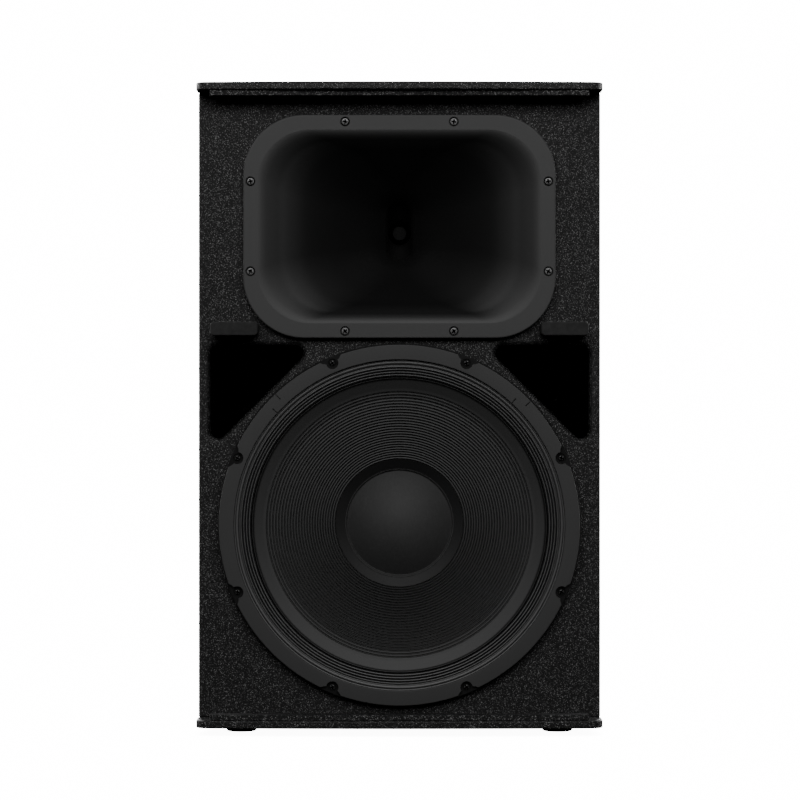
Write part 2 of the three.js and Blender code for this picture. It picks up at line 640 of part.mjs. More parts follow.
function addTerminals(parent) {
  piece(parent, 'terminal_plate', terminalPlate(), screwBlack);
  [['speaker_socket_in', -1], ['speaker_socket_out', 1]].forEach(([name, sign]) =>
    piece(parent, name, speakerSocket(), blackPlastic).position.set(sign * SOCKET.x, 0, SOCKET.z));
  const switchGroup = new THREE.Group();
  switchGroup.position.set(0, REAR_OUTSIDE, SWITCH.z);
  parent.add(switchGroup);
  piece(switchGroup, 'mode_switch_housing', cut(
    boxBetween([-10, -12, -6], [10, 0, 6]),
    boxBetween([-8, -6, -3.5], [8, 1, 3.5]),
  ), blackPlastic);
  piece(switchGroup, 'mode_switch_slider', join(
    boxBetween([-7, -5.4, -3], [0, -1, 3]),
    boxBetween([-6, -2, -2], [-1, TERMINAL.thickness + 2, 2]),
  ), aluminium);
}

// ---------- Inside: crossover and wiring ----------

function crossoverBoard() {
  const board = REAR_INSIDE - 11;
  const face = board - 2;
  const standoffs = [-62, 62].flatMap((x) =>
    [268, 372].map((z) => rodBack(4, board - 1, REAR_INSIDE, x, z, 8)));
  const inductor = rodBack(24, face - 22, face + 1, -38, 330, 16);
  const capacitor = new THREE.CylinderGeometry(12, 12, 52, 10)
    .rotateZ(Math.PI / 2)
    .translate(30, face - 11, 345);
  const resistor = boxBetween([6, face - 10, 302], [54, face + 1, 312]);
  return join(boxBetween([-70, face, 260], [70, board, 380]), ...standoffs, inductor, capacitor, resistor);
}

function wiringLoom() {
  const plugFace = REAR_INSIDE - 13.4;
  const plug = boxBetween([-13, plugFace - 10, 264], [13, plugFace, 274]);
  const radius = 3.2;
  const start = plugFace - 5;
  const blockZ = WOOFER_Z + TERMINAL_BLOCK.z;
  const toSocket = (sign) => cable([
    [sign * 8, start, 269], [sign * 14, 150, 240], [sign * SOCKET.x, 148, 202],
    [sign * SOCKET.x, 160, SOCKET.z],
    [sign * SOCKET.x, REAR_OUTSIDE + TERMINAL.thickness - SOCKET.depth - 0.4, SOCKET.z],
  ], radius, 9);
  const toHorn = cable([
    [4, start, 269], [4, 132, 300], [2, 100, 380], [0, 30, 445], [0, 8, 475], [0, 5, HORN_Z - 45.6],
  ], radius, 14);
  const toWoofer = cable([
    [-4, start, 269], [-6, 120, 290], [-4, 40, 340], [0, -30, 338], [0, TERMINAL_BLOCK.back + 16, blockZ],
    [0, TERMINAL_BLOCK.back + 0.6, blockZ],
  ], radius, 12);
  return join(plug, toSocket(-1), toSocket(1), toHorn, toWoofer);
}

// ---------- Feet, pole socket and handles ----------

function foot() {
  const { topRadius, lowRadius, recess, recessHeight } = FOOT;
  return turnedUp([
    [recess, 0], [lowRadius - 1, 0], [lowRadius, 1.2], [topRadius, FOOT_HEIGHT], [0, FOOT_HEIGHT],
    [0, recessHeight], [recess, recessHeight],
  ], 16);
}

function poleSocket() {
  const { bore, wall, depth, flangeRadius, flangeThickness } = POLE;
  const low = FOOT_HEIGHT - flangeThickness;
  return turnedUp([
    [bore, low], [flangeRadius, low], [flangeRadius, FOOT_HEIGHT], [bore + wall, FOOT_HEIGHT],
    [bore + wall, low + depth + wall], [0, low + depth + wall], [0, low + depth], [bore, low + depth],
  ], BORE_SIDES);
}

/** A recessed bar handle, in its own frame. */
function handle() {
  const { halfLength, halfHeight, depth, wall, bar } = HANDLE;
  const flange = 8;
  const face = GLUE_GAP + 2;
  const slab = (back, front, grow) => boxBetween(
    [back, -halfLength - grow, -halfHeight - grow], [front, halfLength + grow, halfHeight + grow],
  );
  const outside = join(slab(GLUE_GAP, face, flange), slab(-depth, face - 0.5, 0));
  const shell = cut(outside, slab(wall - depth, face + 1, -wall));
  const grip = new THREE.CylinderGeometry(bar, bar, 2 * halfLength - wall, 12).translate(-12, 0, 18);
  return join(shell, grip);
}

function addFittings(parent) {
  FEET.forEach(([name, x, y]) => piece(parent, name, foot(), rubber).position.set(x, y, 0));
  piece(parent, 'pole_socket', poleSocket(), steel).position.y = POLE.y;
  [['left_handle', -1], ['right_handle', 1]].forEach(([name, sign]) =>
    piece(parent, name, handle(), blackPlastic).applyMatrix4(handlePlace(sign)));
  piece(parent, 'crossover_board', crossoverBoard(), circuitBoard);
  piece(parent, 'wiring_loom', wiringLoom(), rubber);
}

// ---------- The cabinet ----------

const speaker = new THREE.Group();
addCabinet(speaker);
addHorn(speaker);
addWoofer(speaker);
addTerminals(speaker);
addFittings(speaker);

export default speaker;
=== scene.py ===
"""The looks of a two-way 15 inch PA speaker cabinet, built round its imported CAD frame.

Lengths in this file are millimetres until a mesh is made. The cabinet faces -Y and +Z is up.
"""

import json
from math import atan, atan2, copysign, cos, pi, radians, sin, tan

import bmesh
import bpy
from mathutils import Matrix, Vector


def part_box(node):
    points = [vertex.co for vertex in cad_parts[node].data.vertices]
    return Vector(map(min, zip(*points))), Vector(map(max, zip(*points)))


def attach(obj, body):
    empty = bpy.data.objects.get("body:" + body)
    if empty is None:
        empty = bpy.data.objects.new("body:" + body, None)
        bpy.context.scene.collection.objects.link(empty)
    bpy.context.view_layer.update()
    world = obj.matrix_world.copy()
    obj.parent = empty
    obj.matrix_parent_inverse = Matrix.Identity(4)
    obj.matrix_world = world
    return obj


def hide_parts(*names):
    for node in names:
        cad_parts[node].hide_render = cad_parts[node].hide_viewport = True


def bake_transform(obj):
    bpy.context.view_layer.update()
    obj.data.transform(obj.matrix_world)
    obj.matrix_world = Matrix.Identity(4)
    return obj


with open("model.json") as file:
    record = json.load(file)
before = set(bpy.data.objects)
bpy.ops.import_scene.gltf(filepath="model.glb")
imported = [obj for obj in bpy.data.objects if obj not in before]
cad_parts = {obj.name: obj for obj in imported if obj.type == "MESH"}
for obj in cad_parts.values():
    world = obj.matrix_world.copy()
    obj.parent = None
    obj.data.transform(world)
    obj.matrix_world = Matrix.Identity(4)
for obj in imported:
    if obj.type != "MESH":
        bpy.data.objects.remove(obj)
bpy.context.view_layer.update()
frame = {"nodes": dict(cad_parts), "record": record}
NODES = frame["nodes"]
MM = 0.001
CABINET = "cabinet"
CONE = "cone"


def cad_box(node):
    """Lowest and highest corner of a CAD node in millimetres."""
    low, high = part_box(node)
    return low / MM, high / MM


def cad_extent(node):
    """Lowest corner, highest corner and centre of a CAD node in millimetres."""
    low, high = cad_box(node)
    return low, high, (low + high) / 2


def cad_centre(node):
    return cad_extent(node)[2]


# ---------- Places read from the frame ----------

BAFFLE_LOW, BAFFLE_HIGH = cad_box("front_baffle")
BAFFLE_FRONT = BAFFLE_LOW.y
HORN_Z = cad_centre("horn_flare").z
HORN_FACE = cad_box("horn_flare")[0].y
WOOFER_Z = cad_centre("woofer_frame").z
FLANGE_FRONT = cad_box("woofer_frame")[0].y
FLANGE_RADIUS = cad_box("woofer_frame")[1].x

# ---------- Shapes that the frame holds only coarsely ----------

PLATE = {"rear_half": 144.9, "bow": 6.0, "corner": 12.0, "edge": 1.5}
PORT = {"outer": 202.7, "inner": 91.2, "top": 414.3, "low": 302.8, "corner": 8.5, "fillet": 5.0}
# Half width, half height and corner radius of the hole behind the horn
HORN_CUTOUT = (149.0, 101.0, 52.0)
WOOFER_HOLE = 178.0
POLE_HOLE = 21.0
WOOFER_AXIS = (0, WOOFER_Z)
GASKET_FRONT = FLANGE_FRONT - 4.5
# Places of a quarter's horn screws from the horn's axis, and the radius of the woofer's bolt circle
HORN_SCREWS = [(58.0, 111.7), (158.9, 48.0)]
WOOFER_BOLT_RADIUS = 187.0
# How far the screws' seats are sunk, and the radius and height of their heads
HORN_SCREW_SINK = 2.5
WOOFER_SCREW_SINK = 1.4
HORN_SCREW_HEAD = (4.7, 2.3)
WOOFER_SCREW_HEAD = (3.4, 1.9)
# How far a cutter runs past the face that it cuts
PAST = 1.0
# The quarters of a plane, anticlockwise from the first
QUARTERS = ((1, 1), (-1, 1), (-1, -1), (1, -1))

# Half the body's width where the side panels start, its narrowing towards the rear, and a panel's width
BODY_HALF = BAFFLE_HIGH.x
TAPER = 0.18717
TAPER_ANGLE = atan(TAPER)
SIDE_ACROSS = 12.0 / cos(TAPER_ANGLE)


def outside_at(y):
    """Half the body's outside width at a depth."""
    return BODY_HALF - (y - BAFFLE_FRONT) * TAPER


# ---------- Mesh building ----------


def new_object(name, data):
    """An object in the scene."""
    made = bpy.data.objects.new(name, data)
    bpy.context.scene.collection.objects.link(made)
    return made


def make_piece(name, points, faces, body=CABINET, slot=None, replaces=None):
    """A mesh object from points in millimetres, riding on a body."""
    mesh = bpy.data.meshes.new(name)
    mesh.from_pydata([Vector(p) * MM for p in points], [], faces)
    mesh.validate()
    piece = new_object(name, mesh)
    outward_faces(mesh)
    if body:
        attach(piece, body)
    if replaces:
        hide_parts(replaces)
    return piece


def outward_faces(mesh):
    work = bmesh.new()
    work.from_mesh(mesh)
    bmesh.ops.recalc_face_normals(work, faces=work.faces)
    work.to_mesh(mesh)
    work.free()


def apply_modifiers(piece):
    depsgraph = bpy.context.evaluated_depsgraph_get()
    baked = bpy.data.meshes.new_from_object(piece.evaluated_get(depsgraph))
    piece.modifiers.clear()
    piece.data = baked


def smooth(piece, angle=35):
    """Smooth shading that keeps flat faces flat and edges sharper than the angle."""
    piece.data.shade_smooth()
    piece.data.set_sharp_from_angle(angle=radians(angle))
    weighting = piece.modifiers.new("weighting", "WEIGHTED_NORMAL")
    weighting.keep_sharp = True
    weighting.weight = 100
    return piece


def add_bevel(piece, width, segments=3, angle=30):
    """A modifier that rounds the edges of a piece by a width in millimetres."""
    modifier = piece.modifiers.new("round", "BEVEL")
    modifier.width = width * MM
    modifier.segments = segments
    modifier.limit_method = "ANGLE"
    modifier.angle_limit = radians(angle)
    return modifier


def cut(piece, *tools):
    """Takes the tools away from a piece and removes them."""
    for tool in tools:
        modifier = piece.modifiers.new("cut", "BOOLEAN")
        modifier.operation = "DIFFERENCE"
        modifier.solver = "EXACT"
        modifier.material_mode = "TRANSFER"
        modifier.object = tool
    apply_modifiers(piece)
    for tool in tools:
        bpy.data.objects.remove(tool)


def ring_faces(ring_count, size, closed):
    """Quads between rings of the same size. A closed loft joins the last ring to the first."""
    faces = []
    for i in range(ring_count if closed else ring_count - 1):
        here, after = i * size, (i + 1) % ring_count * size
        for k in range(size):
            nxt = (k + 1) % size
            faces.append((here + k, here + nxt, after + nxt, after + k))
    return faces


def loft(rings, closed=False):
    """Points and faces of a skin through rings, with its two ends filled unless it is closed."""
    size = len(rings[0])
    faces = ring_faces(len(rings), size, closed)
    if not closed:
        last = (len(rings) - 1) * size
        faces.append(tuple(range(size)))
        faces.append(tuple(last + k for k in reversed(range(size))))
    return [p for ring in rings for p in ring], faces


def lathe(profile, segments, centre, closed):
    """A [radius, y] profile turned about the Y axis through centre (x, z).

    A profile point with radius 0 becomes one vertex on the axis.
    """
    points, rows = [], []
    for radius, y in profile:
        start = len(points)
        if radius == 0:
            points.append((centre[0], y, centre[1]))
            rows.append([start] * segments)
            continue
        for k in range(segments):
            angle = 2 * pi * k / segments
            points.append((centre[0] + radius * cos(angle), y, centre[1] + radius * sin(angle)))
        rows.append([start + k for k in range(segments)])
    faces = []
    for i in range(len(rows) if closed else len(rows) - 1):
        here, after = rows[i], rows[(i + 1) % len(rows)]
        for k in range(segments):
            nxt = (k + 1) % segments
            corners = list(dict.fromkeys((here[k], here[nxt], after[nxt], after[k])))
            if len(corners) > 2:
                faces.append(tuple(corners))
    return points, faces


def rounded_outline(corners, steps=8):
    """Arcs of a convex polygon with rounded corners [x, z, radius], as (centre, direction, radius)."""
    arcs = []
    for i, (x, z, radius) in enumerate(corners):
        here = Vector((x, z))
        back = (Vector(corners[i - 1][:2]) - here).normalized()
        ahead = (Vector(corners[(i + 1) % len(corners)][:2]) - here).normalized()
        half = back.angle(ahead) / 2
        centre = here + (back + ahead).normalized() * (radius / sin(half))
        start = here + back * (radius / tan(half)) - centre
        turn = copysign(pi - 2 * half, -(back.x * ahead.y - back.y * ahead.x))
        for k in range(steps + 1):
            direction = Matrix.Rotation(turn * k / steps, 2) @ start.normalized()
            arcs.append((centre, direction, radius))
    return arcs


def outline_ring(arcs, y, grow=0.0, shift=(0, 0)):
    """The outline at a depth, grown outwards."""
    return [(c.x + d.x * (r + grow) + shift[0], y, c.y + d.y * (r + grow) + shift[1]) for c, d, r in arcs]


def rectangle(half_width, half_height, corner, steps=8):
    """Arcs of a rectangle with rounded corners."""
    return rounded_outline([(sx * half_width, sz * half_height, corner) for sx, sz in QUARTERS], steps)


def quarter_turn(steps, first=0):
    """The sine and cosine of each step from 0 to 90 degrees."""
    angles = (radians(90 * k / steps) for k in range(first, steps + 1))
    return [(sin(angle), cos(angle)) for angle in angles]


def turned(a, b, angle, centre):
    """The point (a, b) turned by an angle and moved to a centre (x, z)."""
    x = centre[0] + a * cos(angle) - b * sin(angle)
    z = centre[1] + a * sin(angle) + b * cos(angle)
    return x, z


def eased_slab(half_size, corner, seat, face, edge, steps, shift=(0, 0)):
    """A slab with rounded corners, from its seat to a face whose edge is rounded.

    The steps are those of a corner and of the rounded edge.
    """
    half_width, half_height = half_size
    corner_steps, edge_steps = steps
    arcs = rectangle(half_width - edge, half_height - edge, corner, corner_steps)
    inwards = copysign(edge, seat - face)
    rings = [outline_ring(arcs, seat, edge, shift)]
    for sine, cosine in quarter_turn(edge_steps):
        rings.append(outline_ring(arcs, face + inwards * (1 - sine), edge * cosine, shift))
    return loft(rings)


def prism(outline, y_front, y_back):
    """An outline of (x, z) points pushed from y_front to y_back."""
    return loft([[(x, y, z) for x, z in outline] for y in (y_front, y_back)])


def box_mesh(low, high):
    (x0, y0, z0), (x1, y1, z1) = low, high
    return prism([(x0, z0), (x1, z0), (x1, z1), (x0, z1)], y0, y1)


def spun(profile, segments, centre=(0, 0)):
    """A solid of revolution, closed flat where its profile ends off the axis."""
    start, end = ([(0, y)] if radius else [] for radius, y in (profile[0], profile[-1]))
    return lathe([*start, *profile, *end], segments, centre, closed=False)


def eased(radius, y, edge):
    """Profile points that round a front edge. A negative edge is that of a hole."""
    depth = abs(edge)
    return [(radius - edge, y), (radius - 0.3 * edge, y + 0.3 * depth), (radius, y + depth)]


def cylinder(radius, y_front, y_back, centre, segments):
    return spun([(radius, y_front), (radius, y_back)], segments, centre)


def cutter(*parts):
    """One object of several closed meshes, to be cut away from a piece."""
    return make_piece("cutter", *merged(*parts), body=None)


def merged(*parts):
    """Several closed meshes as one list of points and faces."""
    points, faces = [], []
    for part_points, part_faces in parts:
        start = len(points)
        points += part_points
        faces += [tuple(start + i for i in face) for face in part_faces]
    return points, faces


def turned_up(mesh_parts, centre):
    """A mesh turned about Y, set upright: its y becomes z, round the point centre (x, y)."""
    points, faces = mesh_parts
    return [(x + centre[0], z + centre[1], y) for x, y, z in points], faces


# ---------- Materials ----------


class Shader:
    """A node material with a Principled shader and the object's own coordinates."""

    def __init__(self, name, roughness, metallic=0.0, specular=0.5):
        self.material = bpy.data.materials.new(name)
        self.material.use_nodes = True
        self.tree = self.material.node_tree
        self.shader = self.tree.nodes["Principled BSDF"]
        self.shader.inputs["Roughness"].default_value = roughness
        self.shader.inputs["Metallic"].default_value = metallic
        self.shader.inputs["Specular IOR Level"].default_value = specular
        self.coords = self.tree.nodes.new("ShaderNodeTexCoord").outputs["Object"]

    def node(self, kind, **settings):
        made = self.tree.nodes.new(kind)
        for key, value in settings.items():
            if key in made.inputs:
                made.inputs[key].default_value = value
            else:
                setattr(made, key, value)
        return made

    def link(self, output, socket):
        self.tree.links.new(output, socket)
        return self

    def noise(self, size_mm, detail=2.0, roughness=0.5, stretch=(1, 1, 1)):
        """Noise whose features are about size_mm across."""
        mapping = self.node("ShaderNodeMapping")
        mapping.inputs["Scale"].default_value = [s / (size_mm * MM) for s in stretch]
        self.link(self.coords, mapping.inputs["Vector"])
        noise = self.node("ShaderNodeTexNoise", Scale=1.0, Detail=detail, Roughness=roughness)
        self.link(mapping.outputs["Vector"], noise.inputs["Vector"])
        return noise.outputs["Fac"]

    def ramp(self, source, stops):
        """A colour ramp of (position, grey or colour) stops."""
        ramp = self.node("ShaderNodeValToRGB").color_ramp
        node = self.tree.nodes[-1]
        for _ in range(len(stops) - 2):
            ramp.elements.new(0.5)
        for element, (position, colour) in zip(ramp.elements, stops):
            element.position = position
            element.color = grey(colour) if isinstance(colour, float) else (*colour, 1)
        self.link(source, node.inputs["Fac"])
        return node.outputs["Color"]

    def colour(self, source, stops):
        return self.link(self.ramp(source, stops), self.shader.inputs["Base Color"])

    def roughness(self, source, stops):
        return self.link(self.ramp(source, stops), self.shader.inputs["Roughness"])

    def bump(self, height, depth_mm):
        """Relief of a height and a depth, on top of any relief already there."""
        node = self.node("ShaderNodeBump", Strength=1.0, Distance=depth_mm * MM)
        self.link(height, node.inputs["Height"])
        previous = self.shader.inputs["Normal"].links
        if previous:
            self.link(previous[0].from_socket, node.inputs["Normal"])
        return self.link(node.outputs["Normal"], self.shader.inputs["Normal"])


def grey(value):
    return (value, value, value, 1)


def speckled_paint(name, grain_mm, base, glint_grey, roughness, specular):
    """Black textured cabinet paint: a pebbled skin whose crests' glints are painted into its colour as light
    specks, painted highlights.
    """
    paint = Shader(name, roughness=roughness, specular=specular)
    grain = paint.noise(grain_mm, detail=0.0)
    # Painted highlights: the grain's crests are coloured up to a light grey in place of their glints.
    paint.colour(grain, [(0.5, base), (0.64, base * 3), (0.8, glint_grey)])
    paint.roughness(grain, [(0.35, min(roughness + 0.1, 1.0)), (0.65, roughness - 0.1)])
    paint.bump(grain, 0.16)
    paint.bump(paint.noise(60.0), 0.2)
    return paint.material


def moulded_plastic(name, base, roughness, specular, grain_mm, grain_depth):
    """Moulded plastic with a fine grain and faint flow marks."""
    plastic = Shader(name, roughness=roughness, specular=specular)
    grain = plastic.noise(grain_mm, detail=2.0)
    flow = plastic.noise(40.0, detail=3.0)
    plastic.colour(flow, [(0.3, base * 0.9), (0.7, base * 1.1)])
    plastic.roughness(grain, [(0.3, roughness + 0.05), (0.7, roughness - 0.05)])
    plastic.bump(grain, grain_depth)
    return plastic.material


def horn_plastic(name):
    """Satin black plastic, lighter on its flange face as a painted sheen, then darker with depth into the
    flare as painted shade.
    """
    shade_depth = 20
    plastic = Shader(name, roughness=0.55, specular=0.43)
    depth = plastic.node("ShaderNodeSeparateXYZ")
    plastic.link(plastic.coords, depth.inputs["Vector"])
    behind = plastic.node("ShaderNodeMapRange")
    behind.inputs["From Min"].default_value = HORN_FACE * MM
    behind.inputs["From Max"].default_value = (HORN_FACE + shade_depth) * MM
    plastic.link(depth.outputs["Y"], behind.inputs["Value"])
    # Painted sheen and shade: the grey falls from the flange face to near black deep in the flare.
    stops = [(0.0, 0.026), (0.03, 0.022), (0.12, 0.012), (0.35, 0.004), (1.0, 0.0015)]
    plastic.colour(behind.outputs["Result"], stops)
    plastic.bump(plastic.noise(0.5, detail=2.0), 0.03)
    return plastic.material


def pressed_fibre(name, base, roughness, fibre_mm, depth, specular):
    """Paper pulp or cork: short tangled fibres in mottled greys."""
    fibre = Shader(name, roughness=roughness, specular=specular)
    strands = fibre.noise(fibre_mm, detail=5.0, roughness=0.7, stretch=(1, 1, 0.4))
    patches = fibre.noise(18.0, detail=3.0)
    mixed = fibre.node("ShaderNodeMath", operation="MULTIPLY_ADD")
    mixed.inputs[1].default_value = 0.35
    fibre.link(patches, mixed.inputs[0]).link(strands, mixed.inputs[2])
    fibre.colour(mixed.outputs[0], [(0.45, base * 0.7), (0.7, base), (0.95, base * 1.5)])
    fibre.bump(strands, depth)
    return fibre.material


def cast_metal(name, base, roughness, metallic, specular):
    """Bare or painted metal, pitted and faintly stained."""
    metal = Shader(name, roughness=roughness, metallic=metallic, specular=specular)
    pits = metal.noise(0.8, detail=3.0)
    stains = metal.noise(25.0, detail=3.0)
    metal.colour(stains, [(0.3, base * 0.85), (0.7, base * 1.15)])
    metal.roughness(stains, [(0.3, roughness - 0.06), (0.7, roughness + 0.1)])
    metal.bump(pits, 0.04)
    return metal.material


def bare_plywood(name):
    """Unpainted plywood with its grain along the cabinet's depth."""
    wood = Shader(name, roughness=0.7)
    rings = wood.noise(14.0, detail=4.0, stretch=(1, 0.08, 1))
    pores = wood.noise(0.7, detail=2.0, stretch=(1, 0.1, 1))
    browns = [(0.3, (0.33, 0.2, 0.09)), (0.55, (0.5, 0.33, 0.16)), (0.8, (0.6, 0.42, 0.22))]
    wood.colour(rings, browns)
    wood.bump(pores, 0.1)
    return wood.material


def woven_cloth(name, base):
    """Doped cloth: a fine weave under a dull coat."""
    cloth = Shader(name, roughness=0.55, specular=1.0)
    cloth.colour(cloth.noise(9.0, detail=3.0), [(0.3, base * 0.8), (0.7, base * 1.3)])
    cloth.bump(cloth.noise(0.6, detail=1.0), 0.008)
    return cloth.material


def soft_rubber(name, base):
    """Dull rubber with a fine grain."""
    rubber = Shader(name, roughness=0.75, specular=0.35)
    rubber.colour(rubber.noise(8.0, detail=4.0), [(0.35, base * 0.8), (0.7, base * 1.6)])
    rubber.bump(rubber.noise(0.9, detail=3.0), 0.08)
    return rubber.material


def foam(name, base):
    """Open-celled foam."""
    cells = Shader(name, roughness=0.9, specular=0.3)
    pores = cells.node("ShaderNodeTexVoronoi", Scale=1 / (1.6 * MM))
    cells.link(cells.coords, pores.inputs["Vector"])
    cells.colour(cells.noise(6.0, detail=3.0), [(0.3, base * 0.8), (0.7, base * 1.2)])
    cells.bump(pores.outputs["Distance"], 0.12)
    return cells.material


def circuit_board(name):
    """Green lacquer, darker between the copper."""
    board = Shader(name, roughness=0.4)
    mask = board.noise(7.0, detail=2.0)
    board.colour(mask, [(0.48, (0.01, 0.06, 0.02)), (0.52, (0.02, 0.12, 0.04))])
    board.bump(mask, 0.05)
    return board.material


def materials_of(maker, rows):
    """The materials that one function makes, by their names."""
    return {name: maker(name, *values) for name, *values in rows}


MATERIALS = {
    # Grain in millimetres, base grey, grey of the painted highlights, roughness, specular. The plate and
    # rail rows are lit copies of the one cabinet paint, whose lighter painted highlights brighten the plates
    # and rails as the light falls on them.
    **materials_of(speckled_paint, [
        ("painted_wood", 0.8, 0.003, 0.16, 0.55, 0.2),
        # Lit copies of the cabinet paint: lighter painted highlights on the plates and rails
        ("plate_paint", 0.9, 0.003, 0.26, 0.5, 0.21),
        ("rail_paint", 0.9, 0.003, 0.22, 0.7, 0.26),
    ]),
    # Base grey, roughness, specular, grain and its depth in millimetres
    **materials_of(moulded_plastic, [
        # Painted shade: a near-perfect black for the port ducts, the sheets in the ports, the brace, the
        # hidden handle cups and the screw recesses, which fall dark
        ("painted_shade_black", 0.0005, 0.9, 0.02, 0.5, 0.03),
        ("driver_plastic", 0.004, 0.7, 0.1, 0.5, 0.03),
        ("socket_plastic", 0.01, 0.4, 0.5, 0.5, 0.03),
        ("handle_plastic", 0.008, 0.5, 0.5, 1.2, 0.08),
    ]),
    # Base grey, roughness, fibre in millimetres, relief in millimetres, specular
    **materials_of(pressed_fibre, [
        ("gasket", 0.006, 0.62, 0.9, 0.02, 0.66),
        ("cone_paper", 0.006, 0.62, 0.7, 0.005, 0.66),
        ("cap_paper", 0.012, 0.74, 2.2, 0.06, 0.74),
    ]),
    # Base grey, roughness, metallic, specular
    **materials_of(cast_metal, [
        ("cast_frame", 0.004, 0.65, 0.0, 0.16),
        ("coil", 0.6, 0.3, 1.0, 0.5),
        ("motor_steel", 0.45, 0.35, 1.0, 0.5),
        ("ferrite", 0.03, 0.6, 0.0, 0.5),
        ("screw_steel", 0.1, 0.4, 0.9, 0.5),
        ("screw_black", 0.05, 0.45, 0.9, 0.5),
        ("terminal_steel", 0.012, 0.5, 0.0, 0.35),
        ("switch_metal", 0.5, 0.35, 1.0, 0.5),
        ("pole_steel", 0.012, 0.4, 0.0, 0.5),
    ]),
    # Base grey
    **materials_of(soft_rubber, [("foot_rubber", 0.006), ("cable_jacket", 0.01)]),
    "pleated_cloth": woven_cloth("pleated_cloth", 0.006),
    "foam": foam("foam", 0.022),
    "horn_plastic": horn_plastic("horn_plastic"),
    "plywood": bare_plywood("plywood"),
    "circuit_board": circuit_board("circuit_board"),
}


def paint_with(piece, material):
    piece.data.materials.clear()
    piece.data.materials.append(MATERIALS[material])
    return piece


def painted(piece, material, angle=35):
    """The piece in a material, smooth where its faces meet below an angle."""
    return smooth(paint_with(piece, material), angle)


def add_piece(name, mesh_parts, slot, replaces=None, body=CABINET, material=None, angle=35, tools=()):
    """A finished piece: cut by its tools, painted as its slot or otherwise, and smooth below an angle."""
    piece = make_piece(name, *mesh_parts, body, slot, replaces)
    if tools:
        cut(piece, *tools)
    return painted(piece, material or slot, angle)


def dress_cad_nodes():
    """Gives every CAD node the material of its slot in the record."""
    for row in frame["record"]["subparts"]:
        slot = row["material_slot"]
        paint_with(NODES[row["node"]], slot)


# ---------- Camera, floor and lights ----------

CAMERA_PLACE = (0.6, BAFFLE_FRONT - 3040.0, 356.0)
CAMERA_LENS = 127.8
BACKDROP_GLOW = 16.0
FILL_GLOW = 0.001
WATTS_PER_RADIANCE = pi


def add_camera():
    camera = new_object("camera", bpy.data.cameras.new("camera"))
    camera.data.lens = CAMERA_LENS
    camera.data.sensor_width = 36.0
    camera.location = Vector(CAMERA_PLACE) * MM
    camera.rotation_euler = (radians(90), 0, 0)
    camera.data.clip_end = 100
    bpy.context.scene.camera = camera


def add_softbox(name, place, target, size, radiance):
    """A studio softbox that lights the cabinet and never shows itself."""
    light = bpy.data.lights.new(name, "AREA")
    light.shape = "RECTANGLE"
    light.size, light.size_y = size
    light.energy = radiance * size[0] * size[1] * WATTS_PER_RADIANCE
    lamp = new_object(name, light)
    lamp.location = place
    lamp.rotation_euler = (Vector(target) - Vector(place)).to_track_quat("-Z", "Y").to_euler()
    lamp.visible_camera = False


# Each softbox: its place, where it points and its size in metres, and its radiance
FRONT_MIDDLE = (0, BAFFLE_FRONT * MM, 0.38)
SOFTBOXES = {
    "front": ((0, -4.65, 2.5), FRONT_MIDDLE, (5.2, 2.2), 5.2),
    "top": ((0, -2.6, 3.5), FRONT_MIDDLE, (3.6, 1.2), 1.0),
    "side_left": ((-3.0, 0.95, 1.5), (0, 0.1, 0.38), (1.7, 1.6), 16.0),
    "side_right": ((3.0, 0.95, 1.5), (0, 0.1, 0.38), (1.7, 1.6), 16.0),
    "rear": ((0, 3.2, 1.9), (0, 0.2, 0.4), (2.4, 1.8), 16.0),
}


def camera_only(piece):
    """Seen by the camera, and by nothing else."""
    piece.visible_diffuse = False
    piece.visible_glossy = False
    piece.visible_transmission = False
    piece.visible_shadow = False


def add_floor():
    """A pale floor as bright as the background, which sends no light back to the cabinet; its glow is dimmed
    by ambient occlusion next to the cabinet, a painted contact shadow.
    """
    half = 30.0
    mesh = bpy.data.meshes.new("floor")
    corners = [(-half, -half, 0), (half, -half, 0), (half, half, 0), (-half, half, 0)]
    mesh.from_pydata(corners, [], [(0, 1, 2, 3)])
    floor = new_object("floor", mesh)
    shader = Shader("floor", roughness=1.0, specular=0.0)
    shader.shader.inputs["Base Color"].default_value = grey(0.0)
    contact_reach = 0.05
    # Painted shadow: ambient occlusion darkens the floor's glow where it meets the cabinet.
    painted_contact_shadow = shader.node("ShaderNodeAmbientOcclusion", Distance=contact_reach, samples=8).outputs["AO"]
    shade = shader.ramp(painted_contact_shadow, [(0.0, 0.7), (0.6, 1.0)])
    shader.link(shade, shader.shader.inputs["Emission Color"])
    shader.shader.inputs["Emission Strength"].default_value = BACKDROP_GLOW
    mesh.materials.append(shader.material)
    camera_only(floor)


def add_world():
    """White behind the cabinet, and a faint fill everywhere else."""
    world = bpy.data.worlds.new("world")
    bpy.context.scene.world = world
    world.use_nodes = True
    tree = world.node_tree
    background = tree.nodes["Background"]
    path = tree.nodes.new("ShaderNodeLightPath")
    strength = tree.nodes.new("ShaderNodeMapRange")
    strength.inputs["To Min"].default_value = FILL_GLOW
    strength.inputs["To Max"].default_value = BACKDROP_GLOW
    tree.links.new(path.outputs["Is Camera Ray"], strength.inputs["Value"])
    tree.links.new(strength.outputs["Result"], background.inputs["Strength"])
    background.inputs["Color"].default_value = grey(1.0)


# ---------- Cabinet ----------


